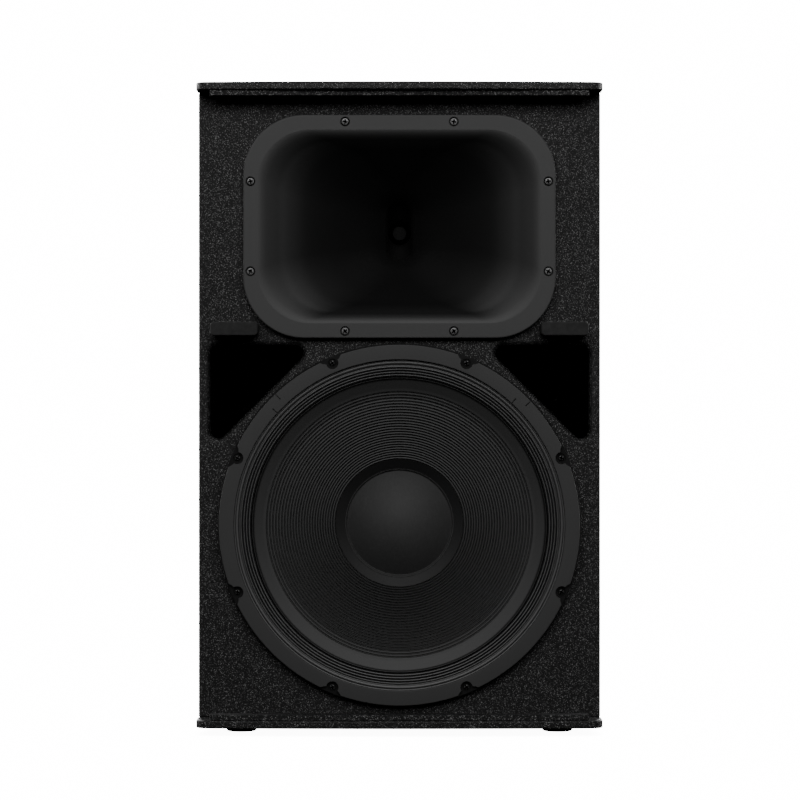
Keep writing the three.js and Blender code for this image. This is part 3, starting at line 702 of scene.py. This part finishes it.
def plate_outline():
    """Plan of the top and bottom plates as (x, y) points."""
    low, high = cad_box("top_panel")
    half, corner, bow = high.x, PLATE["corner"], PLATE["bow"]
    front_end = low.y + bow
    right = [(PLATE["rear_half"], high.y), (half, BAFFLE_FRONT)]
    for sine, cosine in quarter_turn(8):
        right.append((half - corner + corner * cosine, front_end + corner - corner * sine))
    bowed = []
    steps = 24
    for k in range(1, steps):
        t = k / steps
        bowed.append(((half - corner) * (1 - 2 * t), front_end - 4 * bow * t * (1 - t)))
    left = [(-x, y) for x, y in reversed(right)]
    return right + bowed + left


def add_plate(name):
    """The top or bottom plate, and in the bottom one the hole for the pole socket."""
    low, high = cad_box(name)
    outline = plate_outline()
    rings = [[(x, y, z) for x, y in outline] for z in (low.z, high.z)]
    plate = make_piece(f"{name}_board", *loft(rings), slot="painted_wood", replaces=name)
    add_bevel(plate, PLATE["edge"], segments=4, angle=60)
    apply_modifiers(plate)
    if name == "bottom_panel":
        socket = cad_centre("pole_socket")
        hole = cylinder(POLE_HOLE, low.z - PAST, high.z + PAST, (0, 0), 64)
        cut(plate, cutter(turned_up(hole, (socket.x, socket.y))))
    # The plate takes the lit copy of the cabinet paint, with lighter painted highlights
    painted(plate, "plate_paint")


def port_cutter(sign):
    """A port's hole, whose front edge flares out in a quarter round."""
    corners = [(PORT["outer"], PORT["top"]), (PORT["inner"], PORT["top"]), (PORT["outer"], PORT["low"])]
    arcs = rounded_outline([(sign * x, z, PORT["corner"]) for x, z in corners], 10)
    fillet = PORT["fillet"]
    rings = [outline_ring(arcs, BAFFLE_FRONT - PAST, fillet)]
    for sine, cosine in quarter_turn(8):
        rings.append(outline_ring(arcs, BAFFLE_FRONT + fillet * (1 - cosine), fillet * (1 - sine)))
    rings.append(outline_ring(arcs, BAFFLE_HIGH.y + PAST))
    return cutter(loft(rings))


def add_baffle():
    """The baffle board with its horn hole, woofer hole and two ports."""
    block = box_mesh(BAFFLE_LOW, BAFFLE_HIGH)
    board = make_piece("baffle_board", *block, slot="painted_wood", replaces="front_baffle")
    add_bevel(board, 1.5, angle=35)
    apply_modifiers(board)
    front, back = BAFFLE_FRONT - PAST, BAFFLE_HIGH.y + PAST
    arcs = rectangle(*HORN_CUTOUT, 10)
    horn_hole = loft([outline_ring(arcs, y, shift=(0, HORN_Z)) for y in (front, back)])
    woofer_hole = cylinder(WOOFER_HOLE, front, back, WOOFER_AXIS, 128)
    cut(board, cutter(horn_hole), cutter(woofer_hole), port_cutter(-1), port_cutter(1))
    painted(board, "painted_wood", 30)


# Widths of the rounded edges of the CAD nodes that show
EDGE_WIDTHS = {
    "left_side_panel": 1.2,
    "right_side_panel": 1.2,
    "rear_panel": 1.0,
    "top_grille_rail": 0.7,
    "bottom_grille_rail": 0.7,
    "mode_switch_housing": 0.4,
    "mode_switch_slider": 0.3,
}
# Nodes whose material differs from that of their slot: the rails take a lit copy of the paint with lighter
# painted highlights, and the ducts and brace take the painted shade black.
REPAINTED = {
    "rail_paint": ("top_grille_rail", "bottom_grille_rail"),
    "painted_shade_black": ("left_port_duct", "right_port_duct", "cross_brace"),
    "driver_plastic": ("hf_back_plate", "hf_phase_plug"),
}


def soften_edges(node, width):
    """Rounds the edges of a CAD node by a width in millimetres, by modifiers alone."""
    weld = node.modifiers.new("weld", "WELD")
    weld.merge_threshold = 0.01 * MM
    add_bevel(node, width).harden_normals = True


def finish_cad_nodes():
    """Rounded edges and special materials on the CAD nodes that show."""
    for name, width in EDGE_WIDTHS.items():
        soften_edges(NODES[name], width)
    for material, names in REPAINTED.items():
        for name in names:
            paint_with(NODES[name], material)


def add_port_shade_sheet(sign):
    """A sheet of near-perfect black over the inside of the side panel where the port runs past it: painted
    shade.
    """
    length, overlap, clear, sheet, below = 125, 1.5, 0.05, 0.6, 6
    front, back = BAFFLE_HIGH.y, BAFFLE_HIGH.y + length
    panel_front, panel_back = (outside_at(y) - SIDE_ACROSS for y in (front, back))
    plan = [
        (PORT["outer"] - clear, front - overlap), (panel_front - sheet, front - overlap),
        (panel_back - sheet, back), (panel_back - clear, back),
        (panel_front - clear, front - clear), (PORT["outer"] - clear, front - clear),
    ]
    rings = [[(sign * x, y, z) for x, y in plan] for z in (PORT["low"] - below, PORT["top"] - clear)]
    side = "left" if sign < 0 else "right"
    # Painted shade: the sheet keeps the port's inside black.
    paint_with(make_piece(f"{side}_port_shade_sheet", *loft(rings), slot="painted_wood"), "painted_shade_black")


def add_grille_pad(side):
    """A foam pad with soft edges."""
    node = f"{side}_grille_pad"
    low, high, centre = cad_extent(node)
    half_size = (high.x - centre.x, high.z - centre.z)
    block = eased_slab(half_size, corner=2.6, seat=high.y, face=low.y, edge=1.6, steps=(6, 6),
                       shift=(centre.x, centre.z))
    pad = make_piece(f"{node}_foam", *block, slot="foam", replaces=node)
    painted(pad, "foam")


# ---------- Horn ----------

# The flare's inside: depth behind the flange's face, half width, half height and corner radius
FLARE = [
    (0.0, 151.6, 103.4, 56.4), (0.6, 148.1, 100.7, 55.8), (2.2, 143.1, 97.4, 55.6), (4.7, 136.4, 94.3, 55.3),
    (7.6, 128.6, 91.8, 55.0), (11.4, 118.0, 88.5, 55.0), (17.5, 105.0, 84.0, 54.0), (25.8, 92.0, 78.8, 52.0),
    (36.3, 78.0, 71.8, 48.0), (48.0, 64.0, 64.3, 42.0), (61.0, 50.0, 56.0, 36.0), (73.0, 38.0, 48.3, 30.0),
    (84.0, 28.0, 41.3, 24.0), (94.0, 20.0, 36.0, 18.0), (103.0, 13.8, 32.5, 13.7), (111.0, 13.6, 30.0, 13.5),
    (123.0, 13.2, 22.0, 13.1), (133.0, 12.8, 14.5, 12.7), (137.0, 12.7, 12.75, 12.6),
]
# Half width, half height and corner radius of the flange, and of the throat's outside
HORN_OUTER = (166.7, 119.2, 65.0)
HORN_NECK = (18, 24, 18)
# The tube that locates the horn in the baffle's hole: depth, half width, half height and corner radius
HORN_SPIGOT = [(18, 146.5, 98.5, 50), (BAFFLE_FRONT - HORN_FACE, 147.5, 99.5, 51)]
HORN_EDGE = 1.2
HORN_WALL = 3.0
CORNER_STEPS = 22
SPAN_STEPS = 4


def spline(rows, steps):
    """Rows of numbers joined by a Catmull-Rom curve, with steps rows to each span."""
    made = []
    for i in range(len(rows) - 1):
        before, here, after, beyond = (rows[min(max(i + k, 0), len(rows) - 1)] for k in (-1, 0, 1, 2))
        for step in range(steps):
            t = step / steps
            made.append([catmull_rom(t, *values) for values in zip(before, here, after, beyond)])
    return [*made, list(rows[-1])]


def catmull_rom(t, a, b, c, d):
    """The curve's value between b and c."""
    slope = c - a
    bend = 2 * a - 5 * b + 4 * c - d
    twist = 3 * b - a - 3 * c + d
    return 0.5 * (2 * b + slope * t + bend * t * t + twist * t ** 3)


def horn_ring(depth, half_width, half_height, corner):
    corner = min(corner, half_width - 0.05, half_height - 0.05)
    outline = rectangle(half_width, half_height, corner, CORNER_STEPS)
    return outline_ring(outline, HORN_FACE + depth, shift=(0, HORN_Z))


def horn_flange_edge():
    """Rings round the flange's outer edge and in over its flat face."""
    width, height, corner = HORN_OUTER
    margin = 3
    rings = [horn_ring(BAFFLE_FRONT - HORN_FACE, *HORN_OUTER), horn_ring(HORN_EDGE, *HORN_OUTER)]
    for sine, cosine in quarter_turn(4, first=1):
        inset = HORN_EDGE * (1 - cosine)
        rings.append(horn_ring(HORN_EDGE * (1 - sine), width - inset, height - inset, corner - inset))
    return [*rings, horn_ring(0, width - margin, height - margin, corner - margin)]


def add_horn():
    """The horn in one closed skin: flange, flare, throat, mounting foot and outside wall."""
    inside = [horn_ring(*row) for row in spline(FLARE, SPAN_STEPS)]
    outside = [
        horn_ring(depth + HORN_WALL, width + HORN_WALL, height + HORN_WALL, corner + HORN_WALL)
        for depth, width, height, corner in spline(FLARE[6:15], 2)
    ]
    throat_back = FLARE[-1][0]
    foot_radius, foot_thickness = 45, 7
    rings = [
        *horn_flange_edge(),
        *inside,
        horn_ring(throat_back, foot_radius, foot_radius, foot_radius),
        horn_ring(throat_back - foot_thickness, foot_radius, foot_radius, foot_radius),
        horn_ring(throat_back - foot_thickness, *HORN_NECK),
        *reversed(outside),
        *(horn_ring(*row) for row in HORN_SPIGOT),
    ]
    walls = [(5.5, -PAST), (5.3, 0.3), (5.2, HORN_SCREW_SINK)]
    dishes = screw_dishes(HORN_FACE, walls, 40, horn_screw_places())
    add_piece("horn_body", loft(rings, closed=True), "horn_plastic", "horn_flare", angle=40, tools=[dishes])


def screw_dishes(face, walls, segments, places):
    """Cuts dishes for screw heads. Their walls are (radius, depth behind the face) from mouth to floor."""
    profile = [(radius, face + depth) for radius, depth in walls]
    return cutter(*(spun(profile, segments, place) for place in places))


def horn_screw_places():
    return [(sx * x, HORN_Z + sz * z) for sx in (1, -1) for sz in (1, -1) for x, z in HORN_SCREWS]


def bolt_circle(radius, count, centre):
    """Places round a circle, the first half a step from the X axis."""
    return [turned(radius, 0, 2 * pi * (i + 0.5) / count, centre) for i in range(count)]


def woofer_screw_places():
    return bolt_circle(WOOFER_BOLT_RADIUS, 8, WOOFER_AXIS)


def screw_mesh(seat, head, place):
    """A pan head with a flat crown, and its shank."""
    radius, height = head
    top, shank, length, point = seat - height, 1.9, 14, 2
    crown = [(0, 0), (0.72, 0.02), (0.79, 0.1), (0.88, 0.38), (0.96, 0.75), (1, 1)]
    profile = [(radius * share, top + height * drop) for share, drop in crown]
    profile += [(shank, seat), (shank, seat + length), (0, seat + length + point)]
    return spun(profile, 40, place)


def cross_recess(seat, head, place, turn):
    """The two crossed blades, tapering inwards, that cut a screw's driver recess but not its seat."""
    radius, height = head
    arm = min(2.75, 0.75 * radius)
    top, depth, blade = seat - height, 0.85 * height, 0.3 * arm
    blades = []
    for quarter in (0, 90):
        rings = []
        for y, along in ((top - 0.5, arm), (top + depth, arm * 0.75)):
            angle = radians(turn + quarter)
            points = (turned(a * along, b * blade, angle, place) for a, b in QUARTERS)
            rings.append([(x, y, z) for x, z in points])
        blades.append(loft(rings))
    return blades


def add_screw(name, seat, head, place, turn, finish, replaces=None):
    """A cross-head screw of a finish, whose recess is painted black as painted shade."""
    screw = make_piece(name, *screw_mesh(seat, head, place), slot="screw_steel", replaces=replaces)
    paint_with(screw, finish)
    blades = cross_recess(seat, head, place, turn)
    # Painted shade: the blades' black lines the recess where it falls dark.
    cut(screw, *(paint_with(cutter(blade), "painted_shade_black") for blade in blades))
    return smooth(screw, 40)


def add_screws(prefix, places, seat, head, finish):
    """A driver's screws. Each stands for its CAD screw, and each recess is turned its own way."""
    for i, place in enumerate(nearest_order(prefix, places)):
        turn = (23 * i) % 90 - 10
        name = f"{prefix}_screw_{i + 1}"
        add_screw(f"{name}_head", seat, head, place, turn, finish, name)


def nearest_order(prefix, places):
    """The places in the order of the CAD screws that stand there."""
    ordered = []
    for i in range(len(places)):
        centre = cad_centre(f"{prefix}_screw_{i + 1}")
        ordered.append(min(places, key=lambda p: (p[0] - centre.x) ** 2 + (p[1] - centre.z) ** 2))
    return ordered


# ---------- Woofer ----------

# Steps round a full turn, and in one sector of the surround
RIM = 240
SECTOR_STEPS = 6
SURROUND_LEDGE = FLANGE_FRONT + 2
LEDGE_OUTER = 177
LEDGE_INNER = 167
CONE_OUTER = 157.4
BAND_INNER = 144.0
RIB_INNER = 69.0
CONE_NECK = 51.8
RIB_COUNT = 26
# The basket's wall from the baffle to the magnet's seat and back: radius and y
BASKET_WALL = [
    (177.5, BAFFLE_FRONT), (174, -150), (104, -84), (92, -84), (92, -72), (78, -72), (78, -76), (86, -76),
    (86, -89), (100, -89), (108, -92), (169.5, -150), (LEDGE_INNER, -168),
]


def woofer_lathe(profile):
    """A closed profile turned about the woofer's axis."""
    return lathe(profile, RIM, WOOFER_AXIS, closed=True)


def basket_windows():
    """Six windows between the spokes of the basket."""
    outer, inner, half, steps = 160, 116, 22.5, 12
    windows = []
    for i in range(6):
        middle = 60 * (i + 0.5)
        angles = [radians(middle - half + 2 * half * k / steps) for k in range(steps + 1)]
        outline = [turned(outer, 0, angle, WOOFER_AXIS) for angle in angles]
        outline += [turned(inner, 0, angle, WOOFER_AXIS) for angle in reversed(angles)]
        windows.append(prism(outline, -160, -80))
    return cutter(*windows)


def add_woofer_frame():
    """The cast basket: its flange, its windowed wall and the surround's ledge."""
    basket = woofer_lathe([
        (LEDGE_OUTER, FLANGE_FRONT), *eased(FLANGE_RADIUS, FLANGE_FRONT, 1.0), (FLANGE_RADIUS, BAFFLE_FRONT),
        *BASKET_WALL, (LEDGE_INNER, SURROUND_LEDGE), (LEDGE_OUTER, SURROUND_LEDGE),
    ])
    walls = [(4.9, -PAST), (4.4, WOOFER_SCREW_SINK)]
    tools = [basket_windows(), screw_dishes(FLANGE_FRONT, walls, 32, woofer_screw_places())]
    add_piece("woofer_basket", basket, "cast_frame", "woofer_frame", tools=tools)


def add_gasket():
    """The front trim ring, notched round each screw and scored where its segments meet."""
    outer, inner, edge = 192.4, 176.4, 0.8
    ring = woofer_lathe([
        (inner, FLANGE_FRONT), *reversed(eased(inner, GASKET_FRONT, -edge)),
        *eased(outer, GASKET_FRONT, edge), (outer, FLANGE_FRONT),
    ])
    notches = [notch_prism(place) for place in woofer_screw_places()]
    tools = [cutter(*notches), cutter(*joint_scores())]
    add_piece("gasket_ring", ring, "gasket", "woofer_gasket", tools=tools)


def notch_prism(place):
    """A round pocket about a screw that opens outwards in two flared lips."""
    pocket, steps = 6.6, 12
    lip = [(10.0, 15.5), (5.0, 12.2), (2.4, 9.2)]
    arc = [turned(pocket, 0, radians(80 + 200 * k / steps), (0, 0)) for k in range(steps + 1)]
    outline = [*lip, *arc, *((a, -b) for a, b in reversed(lip))]
    angle = atan2(place[1] - WOOFER_Z, place[0])
    return prism([turned(a, b, angle, place) for a, b in outline], GASKET_FRONT - PAST, FLANGE_FRONT + 0.5)


def joint_scores():
    """Thin slots of the two stepped joints between the trim ring's halves."""
    half = 0.55
    scores = []
    for side in (-1, 1):
        for near, far, offset in ((184.6, 193, 1.6), (175, 183.4, -2.4)):
            angle = radians(90 - side * 45 - offset)
            corners = ((near, half), (far, half), (far, -half), (near, -half))
            outline = [turned(a, b, angle, WOOFER_AXIS) for a, b in corners]
            scores.append(prism(outline, GASKET_FRONT - PAST, FLANGE_FRONT - 0.5))
    return scores


# One pleat from crest to crest: share of the pitch, and depth below the crest
PLEAT = [(0.0, 0.0), (0.17, 0.03), (0.3, 0.25), (0.39, 1.2), (0.45, 2.1), (0.52, 2.3), (0.58, 2.1),
         (0.65, 1.2), (0.77, 0.25), (0.9, 0.03)]
PLEAT_PITCH = 2.95
PLEAT_COUNT = 4
PLEAT_START = 169.0
FIRST_CREST = 172.4
# The glued lip and the first roll: radius, and depth below the crests
LIP = [(176.3, 1.0), (175.4, 1.1), (174.9, 1.0), (174.4, 0.25), (173.6, -0.05), (FIRST_CREST, 0),
       (171.7, 0.35), (171.0, 1.1), (170.5, 1.2), (170.1, 0.9), (169.6, 0.2)]


def crest_line(r):
    """Depth of the pleats' crests: they step back a little towards the cone."""
    outer_crest, inner_crest = 3.2, 1.6
    share = (r - CONE_OUTER) / (FIRST_CREST - CONE_OUTER)
    return SURROUND_LEDGE - inner_crest - (outer_crest - inner_crest) * share


def surround_profile():
    """The surround's front from its lip, over a wide first roll and even pleats, to the cone's edge."""
    gap = 0.5
    pleats = [(i + share, depth) for i in range(PLEAT_COUNT) for share, depth in PLEAT]
    rolls = [(PLEAT_START - PLEAT_PITCH * pitches, depth) for pitches, depth in pleats]
    return [(r, crest_line(r) + depth) for r, depth in LIP + rolls if r > CONE_OUTER + gap]


def surround_sector(profile, start):
    """One sector of the surround's skin, from an angle in radians."""
    rings = []
    for k in range(SECTOR_STEPS + 1):
        angle = start + 2 * pi * k / RIM
        rings.append([(r * cos(angle), y, WOOFER_Z + r * sin(angle)) for r, y in profile])
    return loft(rings)


def add_surround():
    """The surround in narrow sectors, each baked where it stands."""
    front = surround_profile()
    skin = 0.5
    profile = [*front, *((r, y + skin) for r, y in reversed(front))]
    sector_angle = 2 * pi * SECTOR_STEPS / RIM
    for i in range(RIM // SECTOR_STEPS):
        mesh_parts = surround_sector(profile, i * sector_angle)
        sector = add_piece(f"surround_sector_{i + 1}", mesh_parts, "pleated_cloth", "woofer_surround", None,
                           angle=75)
        apply_modifiers(sector)
        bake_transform(sector)


def cone_front(r):
    """Depth of the cone's front at a radius, without its ribs."""
    band_slope, rib_slope, rib_curve, neck_slope = 0.3, 0.36, 0.0028, 0.8
    band = SURROUND_LEDGE + 5
    if r >= BAND_INNER:
        return band - band_slope * (r - BAND_INNER)
    curved = min(BAND_INNER - r, BAND_INNER - RIB_INNER)
    straight = max(RIB_INNER - r, 0)
    return band + rib_slope * curved + rib_curve * curved ** 2 + neck_slope * straight


# One rib: share of its pitch, and share of its rise. A flat land, then a narrow groove that runs deeper.
RIB = [(0.0, 0.0), (0.4, -0.05), (0.46, 0.4), (0.52, 1.5), (0.58, 1.85), (0.74, 1.9), (0.82, 1.75),
       (0.9, 1.1)]


def rib_radii():
    """Where the ribs start, closer together towards the middle."""
    outer_pitch, inner_pitch = 3.2, 2.58
    radii = [BAND_INNER]
    for i in range(RIB_COUNT):
        radii.append(radii[-1] - outer_pitch - (inner_pitch - outer_pitch) * i / (RIB_COUNT - 1))
    return radii


def cone_profile():
    """The cone's front from its edge to its neck: a glue bead, a flat band, ribs and a smooth ring."""
    bead = [(CONE_OUTER, 1.9), (156.9, 2.2), (156.3, 1.7), (155.8, 0.5), (155.2, 0.05)]
    band = [(154.0, 0), (150.0, 0), (146.5, 0)]
    profile = [(r, cone_front(r) - proud) for r, proud in bead + band]
    radii = rib_radii()
    for outer, inner in zip(radii, radii[1:]):
        start, rise = cone_front(outer), cone_front(inner) - cone_front(outer)
        profile += [(outer - (outer - inner) * share, start + rise * climb) for share, climb in RIB]
    steps = 5
    ring = [radii[-1] - (radii[-1] - CONE_NECK) * k / steps for k in range(steps + 1)]
    return profile + [(r, cone_front(r)) for r in ring]


def add_cone():
    """The cone: its ribbed front and a plain back."""
    front = cone_profile()
    skin = 3.0
    back = [(r, cone_front(r) + skin) for r, _ in reversed(front[::4])]
    add_piece("cone_body", woofer_lathe(front + back), "cone_paper", "woofer_cone", CONE, angle=75)


def add_dust_cap():
    """A domed cap with its glued rim."""
    base, height, skin, steps = 55.6, 20.0, 0.8, 29
    rim = cone_front(base) - 1.4
    dome = [(base * k / steps, rim - height * (1 - (k / steps) ** 2)) for k in range(steps + 1)]
    glue = [(r, cone_front(r) - proud) for r, proud in ((58.2, 1.5), (58.8, 1.1))]
    front = [*dome, (56.4, rim + 0.5), (57.2, rim + 0.1), *glue]
    back = [(r, y + skin) for r, y in reversed(front)]
    dome_mesh = spun(front + back, 128, WOOFER_AXIS)
    add_piece("dust_cap_dome", dome_mesh, "cone_paper", "woofer_dust_cap", CONE, "cap_paper", angle=50)


# ---------- Feet, pole socket, handles and rear fittings ----------


def add_foot(node):
    """A tapered rubber foot with a hole for its screw underneath."""
    _, high, centre = cad_extent(node)
    top, height, hole, floor = high.x - centre.x, high.z, 6.0, 3.5
    profile = [
        (top, height), (top, height - 0.8), (top - 1.6, 1.8), (top - 2.4, 0.6), (top - 3.6, 0),
        (hole + 0.6, 0), (hole, 0.6), (hole, floor),
    ]
    add_piece(f"{node}_rubber", turned_up(spun(profile, 64), (centre.x, centre.y)), "foot_rubber", node)


def placed(mesh_parts, matrix):
    """A mesh of points in millimetres moved by a matrix."""
    points, faces = mesh_parts
    return [tuple(matrix @ Vector(p)) for p in points], faces


HANDLE = {"y": 55.0, "z": 410.0, "half_length": 84.0, "half_height": 50.0, "depth": 42.0, "face": -2.3}


def handle_matrix(sign):
    """Sets a mesh that faces -Y into a side panel, facing outwards."""
    turn = TAPER_ANGLE if sign > 0 else pi - TAPER_ANGLE
    place = Vector((sign * outside_at(HANDLE["y"]), HANDLE["y"], HANDLE["z"]))
    return Matrix.Translation(place) @ Matrix.Rotation(turn + pi / 2, 4, "Z")


def handle_cup():
    """The moulded cup: outside wall, flange, rounded lip, drafted inside wall and a filleted floor."""
    length, height, depth, face = (HANDLE[key] for key in ("half_length", "half_height", "depth", "face"))
    seat, flange, edge, lip, wall, draft, fillet = -0.3, 8.0, 1.0, 2.5, 2.5, 2.0, 9.0
    flange_corner, cup_corner = 18, 14

    def ring(y, grow, corner):
        return outline_ring(rectangle(length + grow, height + grow, corner), y)

    rings = [ring(depth, -9, 10), ring(depth - 3, -2.5, 13), ring(depth - 9, 0, cup_corner),
             ring(seat, 0, cup_corner), ring(seat, flange, flange_corner)]
    for sine, cosine in quarter_turn(4):
        inset = edge * (1 - cosine)
        rings.append(ring(face + edge * (1 - sine), flange - inset, flange_corner - inset))
    rings.append(ring(face, 1.0, 15))
    for sine, cosine in quarter_turn(5):
        rings.append(ring(face + lip * (1 - cosine), -lip * sine, cup_corner - lip * sine))
    floor = depth - wall
    for sine, cosine in quarter_turn(6):
        inset = lip + draft + fillet * (1 - cosine)
        rings.append(ring(floor - fillet * (1 - sine), -inset, cup_corner - 0.9 * (inset - lip)))
    return loft(rings)


def handle_bar():
    """The grip: a round bar along the cup that flares into its end walls."""
    reach, radius, flare, spread = HANDLE["half_length"] - 3.5, 9.0, 11.0, 3.5
    depth, above = 12, 18
    end = [(radius + spread * (1 - cosine) ** 1.5, reach - flare * (1 - sine))
           for sine, cosine in quarter_turn(12)]
    points, faces = spun([*((r, -u) for r, u in reversed(end)), *end], 40)
    return [(y, depth + z, above + x) for x, y, z in points], faces


def shade_hidden_outside(cup, matrix):
    """Paints the cup's hidden outside near-perfect black: painted shade where the port would otherwise show
    it.
    """
    cup.data.materials.append(MATERIALS["painted_shade_black"])
    outwards = matrix.to_3x3() @ Vector((0, -1, 0))
    panel_face = matrix.translation * MM
    for polygon in cup.data.polygons:
        behind_panel = (polygon.center - panel_face).dot(outwards) < 0
        away = polygon.normal.dot(polygon.center - panel_face) > 0
        if behind_panel and away:
            polygon.material_index = 1


def add_handle(side, sign):
    """A side panel's recessed handle: its cup, its bar and four screws."""
    matrix = handle_matrix(sign)
    node = f"{side}_handle"
    cup = make_piece(f"{node}_cup", *placed(handle_cup(), matrix), slot="handle_plastic", replaces=node)
    # Painted shade on the cup's hidden outside
    shade_hidden_outside(paint_with(cup, "handle_plastic"), matrix)
    smooth(cup, 40)
    add_piece(f"{node}_bar", placed(handle_bar(), matrix), "handle_plastic", angle=40)
    beyond = 1.2
    for i, (x, z) in enumerate(QUARTERS):
        place = (x * (HANDLE["half_length"] + beyond), z * (HANDLE["half_height"] + beyond))
        add_fixing(f"{node}_screw_{i + 1}", matrix, place, seat=HANDLE["face"], head=(3.2, 1.3), turn=31 * i)


def add_fixing(name, matrix, place, seat, head, turn):
    """A cross-head screw of a fitting, in the fitting's own frame."""
    screw = add_screw(name, seat, head, place, turn, "screw_steel")
    screw.data.transform(Matrix.Translation(matrix.translation * MM) @ matrix.to_3x3().to_4x4())


def add_pole_socket():
    """The pole socket: a flanged steel tube with a chamfered mouth, closed at its top."""
    low, high, centre = cad_extent("pole_socket")
    bore, wall, flange, thickness, chamfer, bolt_radius = 18.0, 2.0, high.x - centre.x, 3.0, 2.2, 38
    tube, seat = bore + wall, low.z + thickness
    profile = [
        (tube - 3, high.z), (tube, high.z - 3), (tube, seat), (flange, seat),
        *reversed(eased(flange, low.z, 0.8)),
        (bore + chamfer, low.z), (bore + 0.6, low.z + 0.6), (bore, low.z + chamfer), (bore, high.z - wall),
    ]
    tube_mesh = turned_up(spun(profile, 96), (centre.x, centre.y))
    add_piece("pole_socket_tube", tube_mesh, "pole_steel", "pole_socket", angle=40)
    upwards = Matrix.Translation((centre.x, centre.y, low.z)) @ Matrix.Rotation(radians(90), 4, "X")
    for i, place in enumerate(bolt_circle(bolt_radius, 4, (0, 0))):
        add_fixing(f"pole_socket_screw_{i + 1}", upwards, place, seat=0, head=(3.4, 1.5), turn=25 * i)


def rear_matrix(x, z):
    """Sets a mesh that faces -Y on the terminal plate, facing the rear."""
    seat = cad_box("terminal_plate")[1].y
    return Matrix.Translation((x, seat, z)) @ Matrix.Rotation(pi, 4, "Z")


SOCKETS = ("speaker_socket_in", "speaker_socket_out")
SOCKET_FRONT = -2.5
SOCKET_BACK = 24.0


def add_terminal_plate():
    """The rear plate, its holes for two sockets and a switch, and its six screws."""
    low, high, centre = cad_extent("terminal_plate")
    half_width, half_height = high.x - centre.x, high.z - centre.z
    slab = eased_slab((half_width, half_height), corner=5.3, seat=low.y, face=high.y, edge=0.7, steps=(8, 3),
                      shift=(centre.x, centre.z))
    front, back = low.y - PAST, high.y + PAST
    well = 12.4
    sockets = [cad_centre(name) for name in SOCKETS]
    holes = [cylinder(well, front, back, (socket.x, socket.z), 64) for socket in sockets]
    across, up, slot_z = 6.5, 2.5, cad_centre("mode_switch_housing").z
    holes.append(box_mesh((-across, front, slot_z - up), (across, back, slot_z + up)))
    add_piece("terminal_board", slab, "terminal_steel", "terminal_plate", tools=[cutter(*holes)])
    inset, matrix = 7.0, rear_matrix(centre.x, centre.z)
    for i, (x, z) in enumerate((*QUARTERS, (0, 1), (0, -1))):
        place = (x * (half_width - inset), z * (half_height - inset))
        add_fixing(f"terminal_screw_{i + 1}", matrix, place, seat=0, head=(3.2, 1.4), turn=40 * i)


def add_socket_flange(name, matrix):
    """The socket's square flange and the mouth of its well."""
    slab = eased_slab((13.0, 16.0), corner=2.4, seat=0, face=SOCKET_FRONT, edge=0.6, steps=(6, 3))
    mouth, well, front = 11.2, 10.6, SOCKET_FRONT
    profile = [(mouth, front - PAST), (well, front + 0.6), (well, PAST)]
    hole = cutter(placed(spun(profile, 64), matrix))
    add_piece(f"{name}_shell", placed(slab, matrix), "socket_plastic", name, tools=[hole])


def add_socket_barrel(name, matrix):
    """The round well behind the flange, with its two keyways."""
    outer, inner, floor, front = 11.9, 10, 3, SOCKET_FRONT + 1.0
    profile = [(inner, SOCKET_BACK - floor), (inner, front), (outer, front), (outer, SOCKET_BACK)]
    front = SOCKET_FRONT + 0.6
    keys = merged(box_mesh((-12.5, front, -1.8), (-9, 6, 1.8)), box_mesh((9, front, -1.2), (12.5, 6, 1.2)))
    barrel, keyways = placed(spun(profile, 64), matrix), cutter(placed(keys, matrix))
    add_piece(f"{name}_barrel", barrel, "socket_plastic", tools=[keyways])


def add_socket_core(name, matrix):
    """The core in the middle of the well, with its four contacts."""
    radius, back = 6.4, SOCKET_BACK - 2
    profile = [(5.6, 0.4), (radius, 1.2), (radius, back)]
    add_piece(f"{name}_core", placed(spun(profile, 48), matrix), "socket_plastic")
    blade = box_mesh((6.2, 3, -1.3), (7.0, SOCKET_BACK - 3, 1.3))
    contacts = [placed(blade, Matrix.Rotation(radians(45 + 90 * i), 4, "Y")) for i in range(4)]
    strips = make_piece(f"{name}_contacts", *placed(merged(*contacts), matrix), slot="switch_metal")
    paint_with(strips, "switch_metal")


def add_speaker_socket(name):
    """A four-pole locking socket: a square flange, a keyed round well and its contact core."""
    centre = cad_centre(name)
    matrix = rear_matrix(centre.x, centre.z)
    add_socket_flange(name, matrix)
    add_socket_barrel(name, matrix)
    add_socket_core(name, matrix)
    for i, place in enumerate(((10.2, 13.2), (-10.2, -13.2))):
        add_fixing(f"{name}_screw_{i + 1}", matrix, place, seat=SOCKET_FRONT, head=(2.2, 0.9), turn=55 * i)


def build():
    add_camera()
    add_floor()
    add_world()
    for name, settings in SOFTBOXES.items():
        add_softbox(name, *settings)
    dress_cad_nodes()
    finish_cad_nodes()
    add_plate("top_panel")
    add_plate("bottom_panel")
    add_baffle()
    for side, sign in (("left", -1), ("right", 1)):
        add_port_shade_sheet(sign)
        add_grille_pad(side)
        add_handle(side, sign)
    add_horn()
    add_woofer_frame()
    add_gasket()
    add_surround()
    add_cone()
    add_dust_cap()
    add_screws("horn", horn_screw_places(), HORN_FACE + HORN_SCREW_SINK, HORN_SCREW_HEAD, "screw_steel")
    woofer_seat = FLANGE_FRONT + WOOFER_SCREW_SINK
    add_screws("woofer", woofer_screw_places(), woofer_seat, WOOFER_SCREW_HEAD, "screw_black")
    add_pole_socket()
    add_terminal_plate()
    for name in SOCKETS:
        add_speaker_socket(name)
    for node in ("front_left_foot", "front_right_foot", "rear_left_foot", "rear_right_foot"):
        add_foot(node)


build()
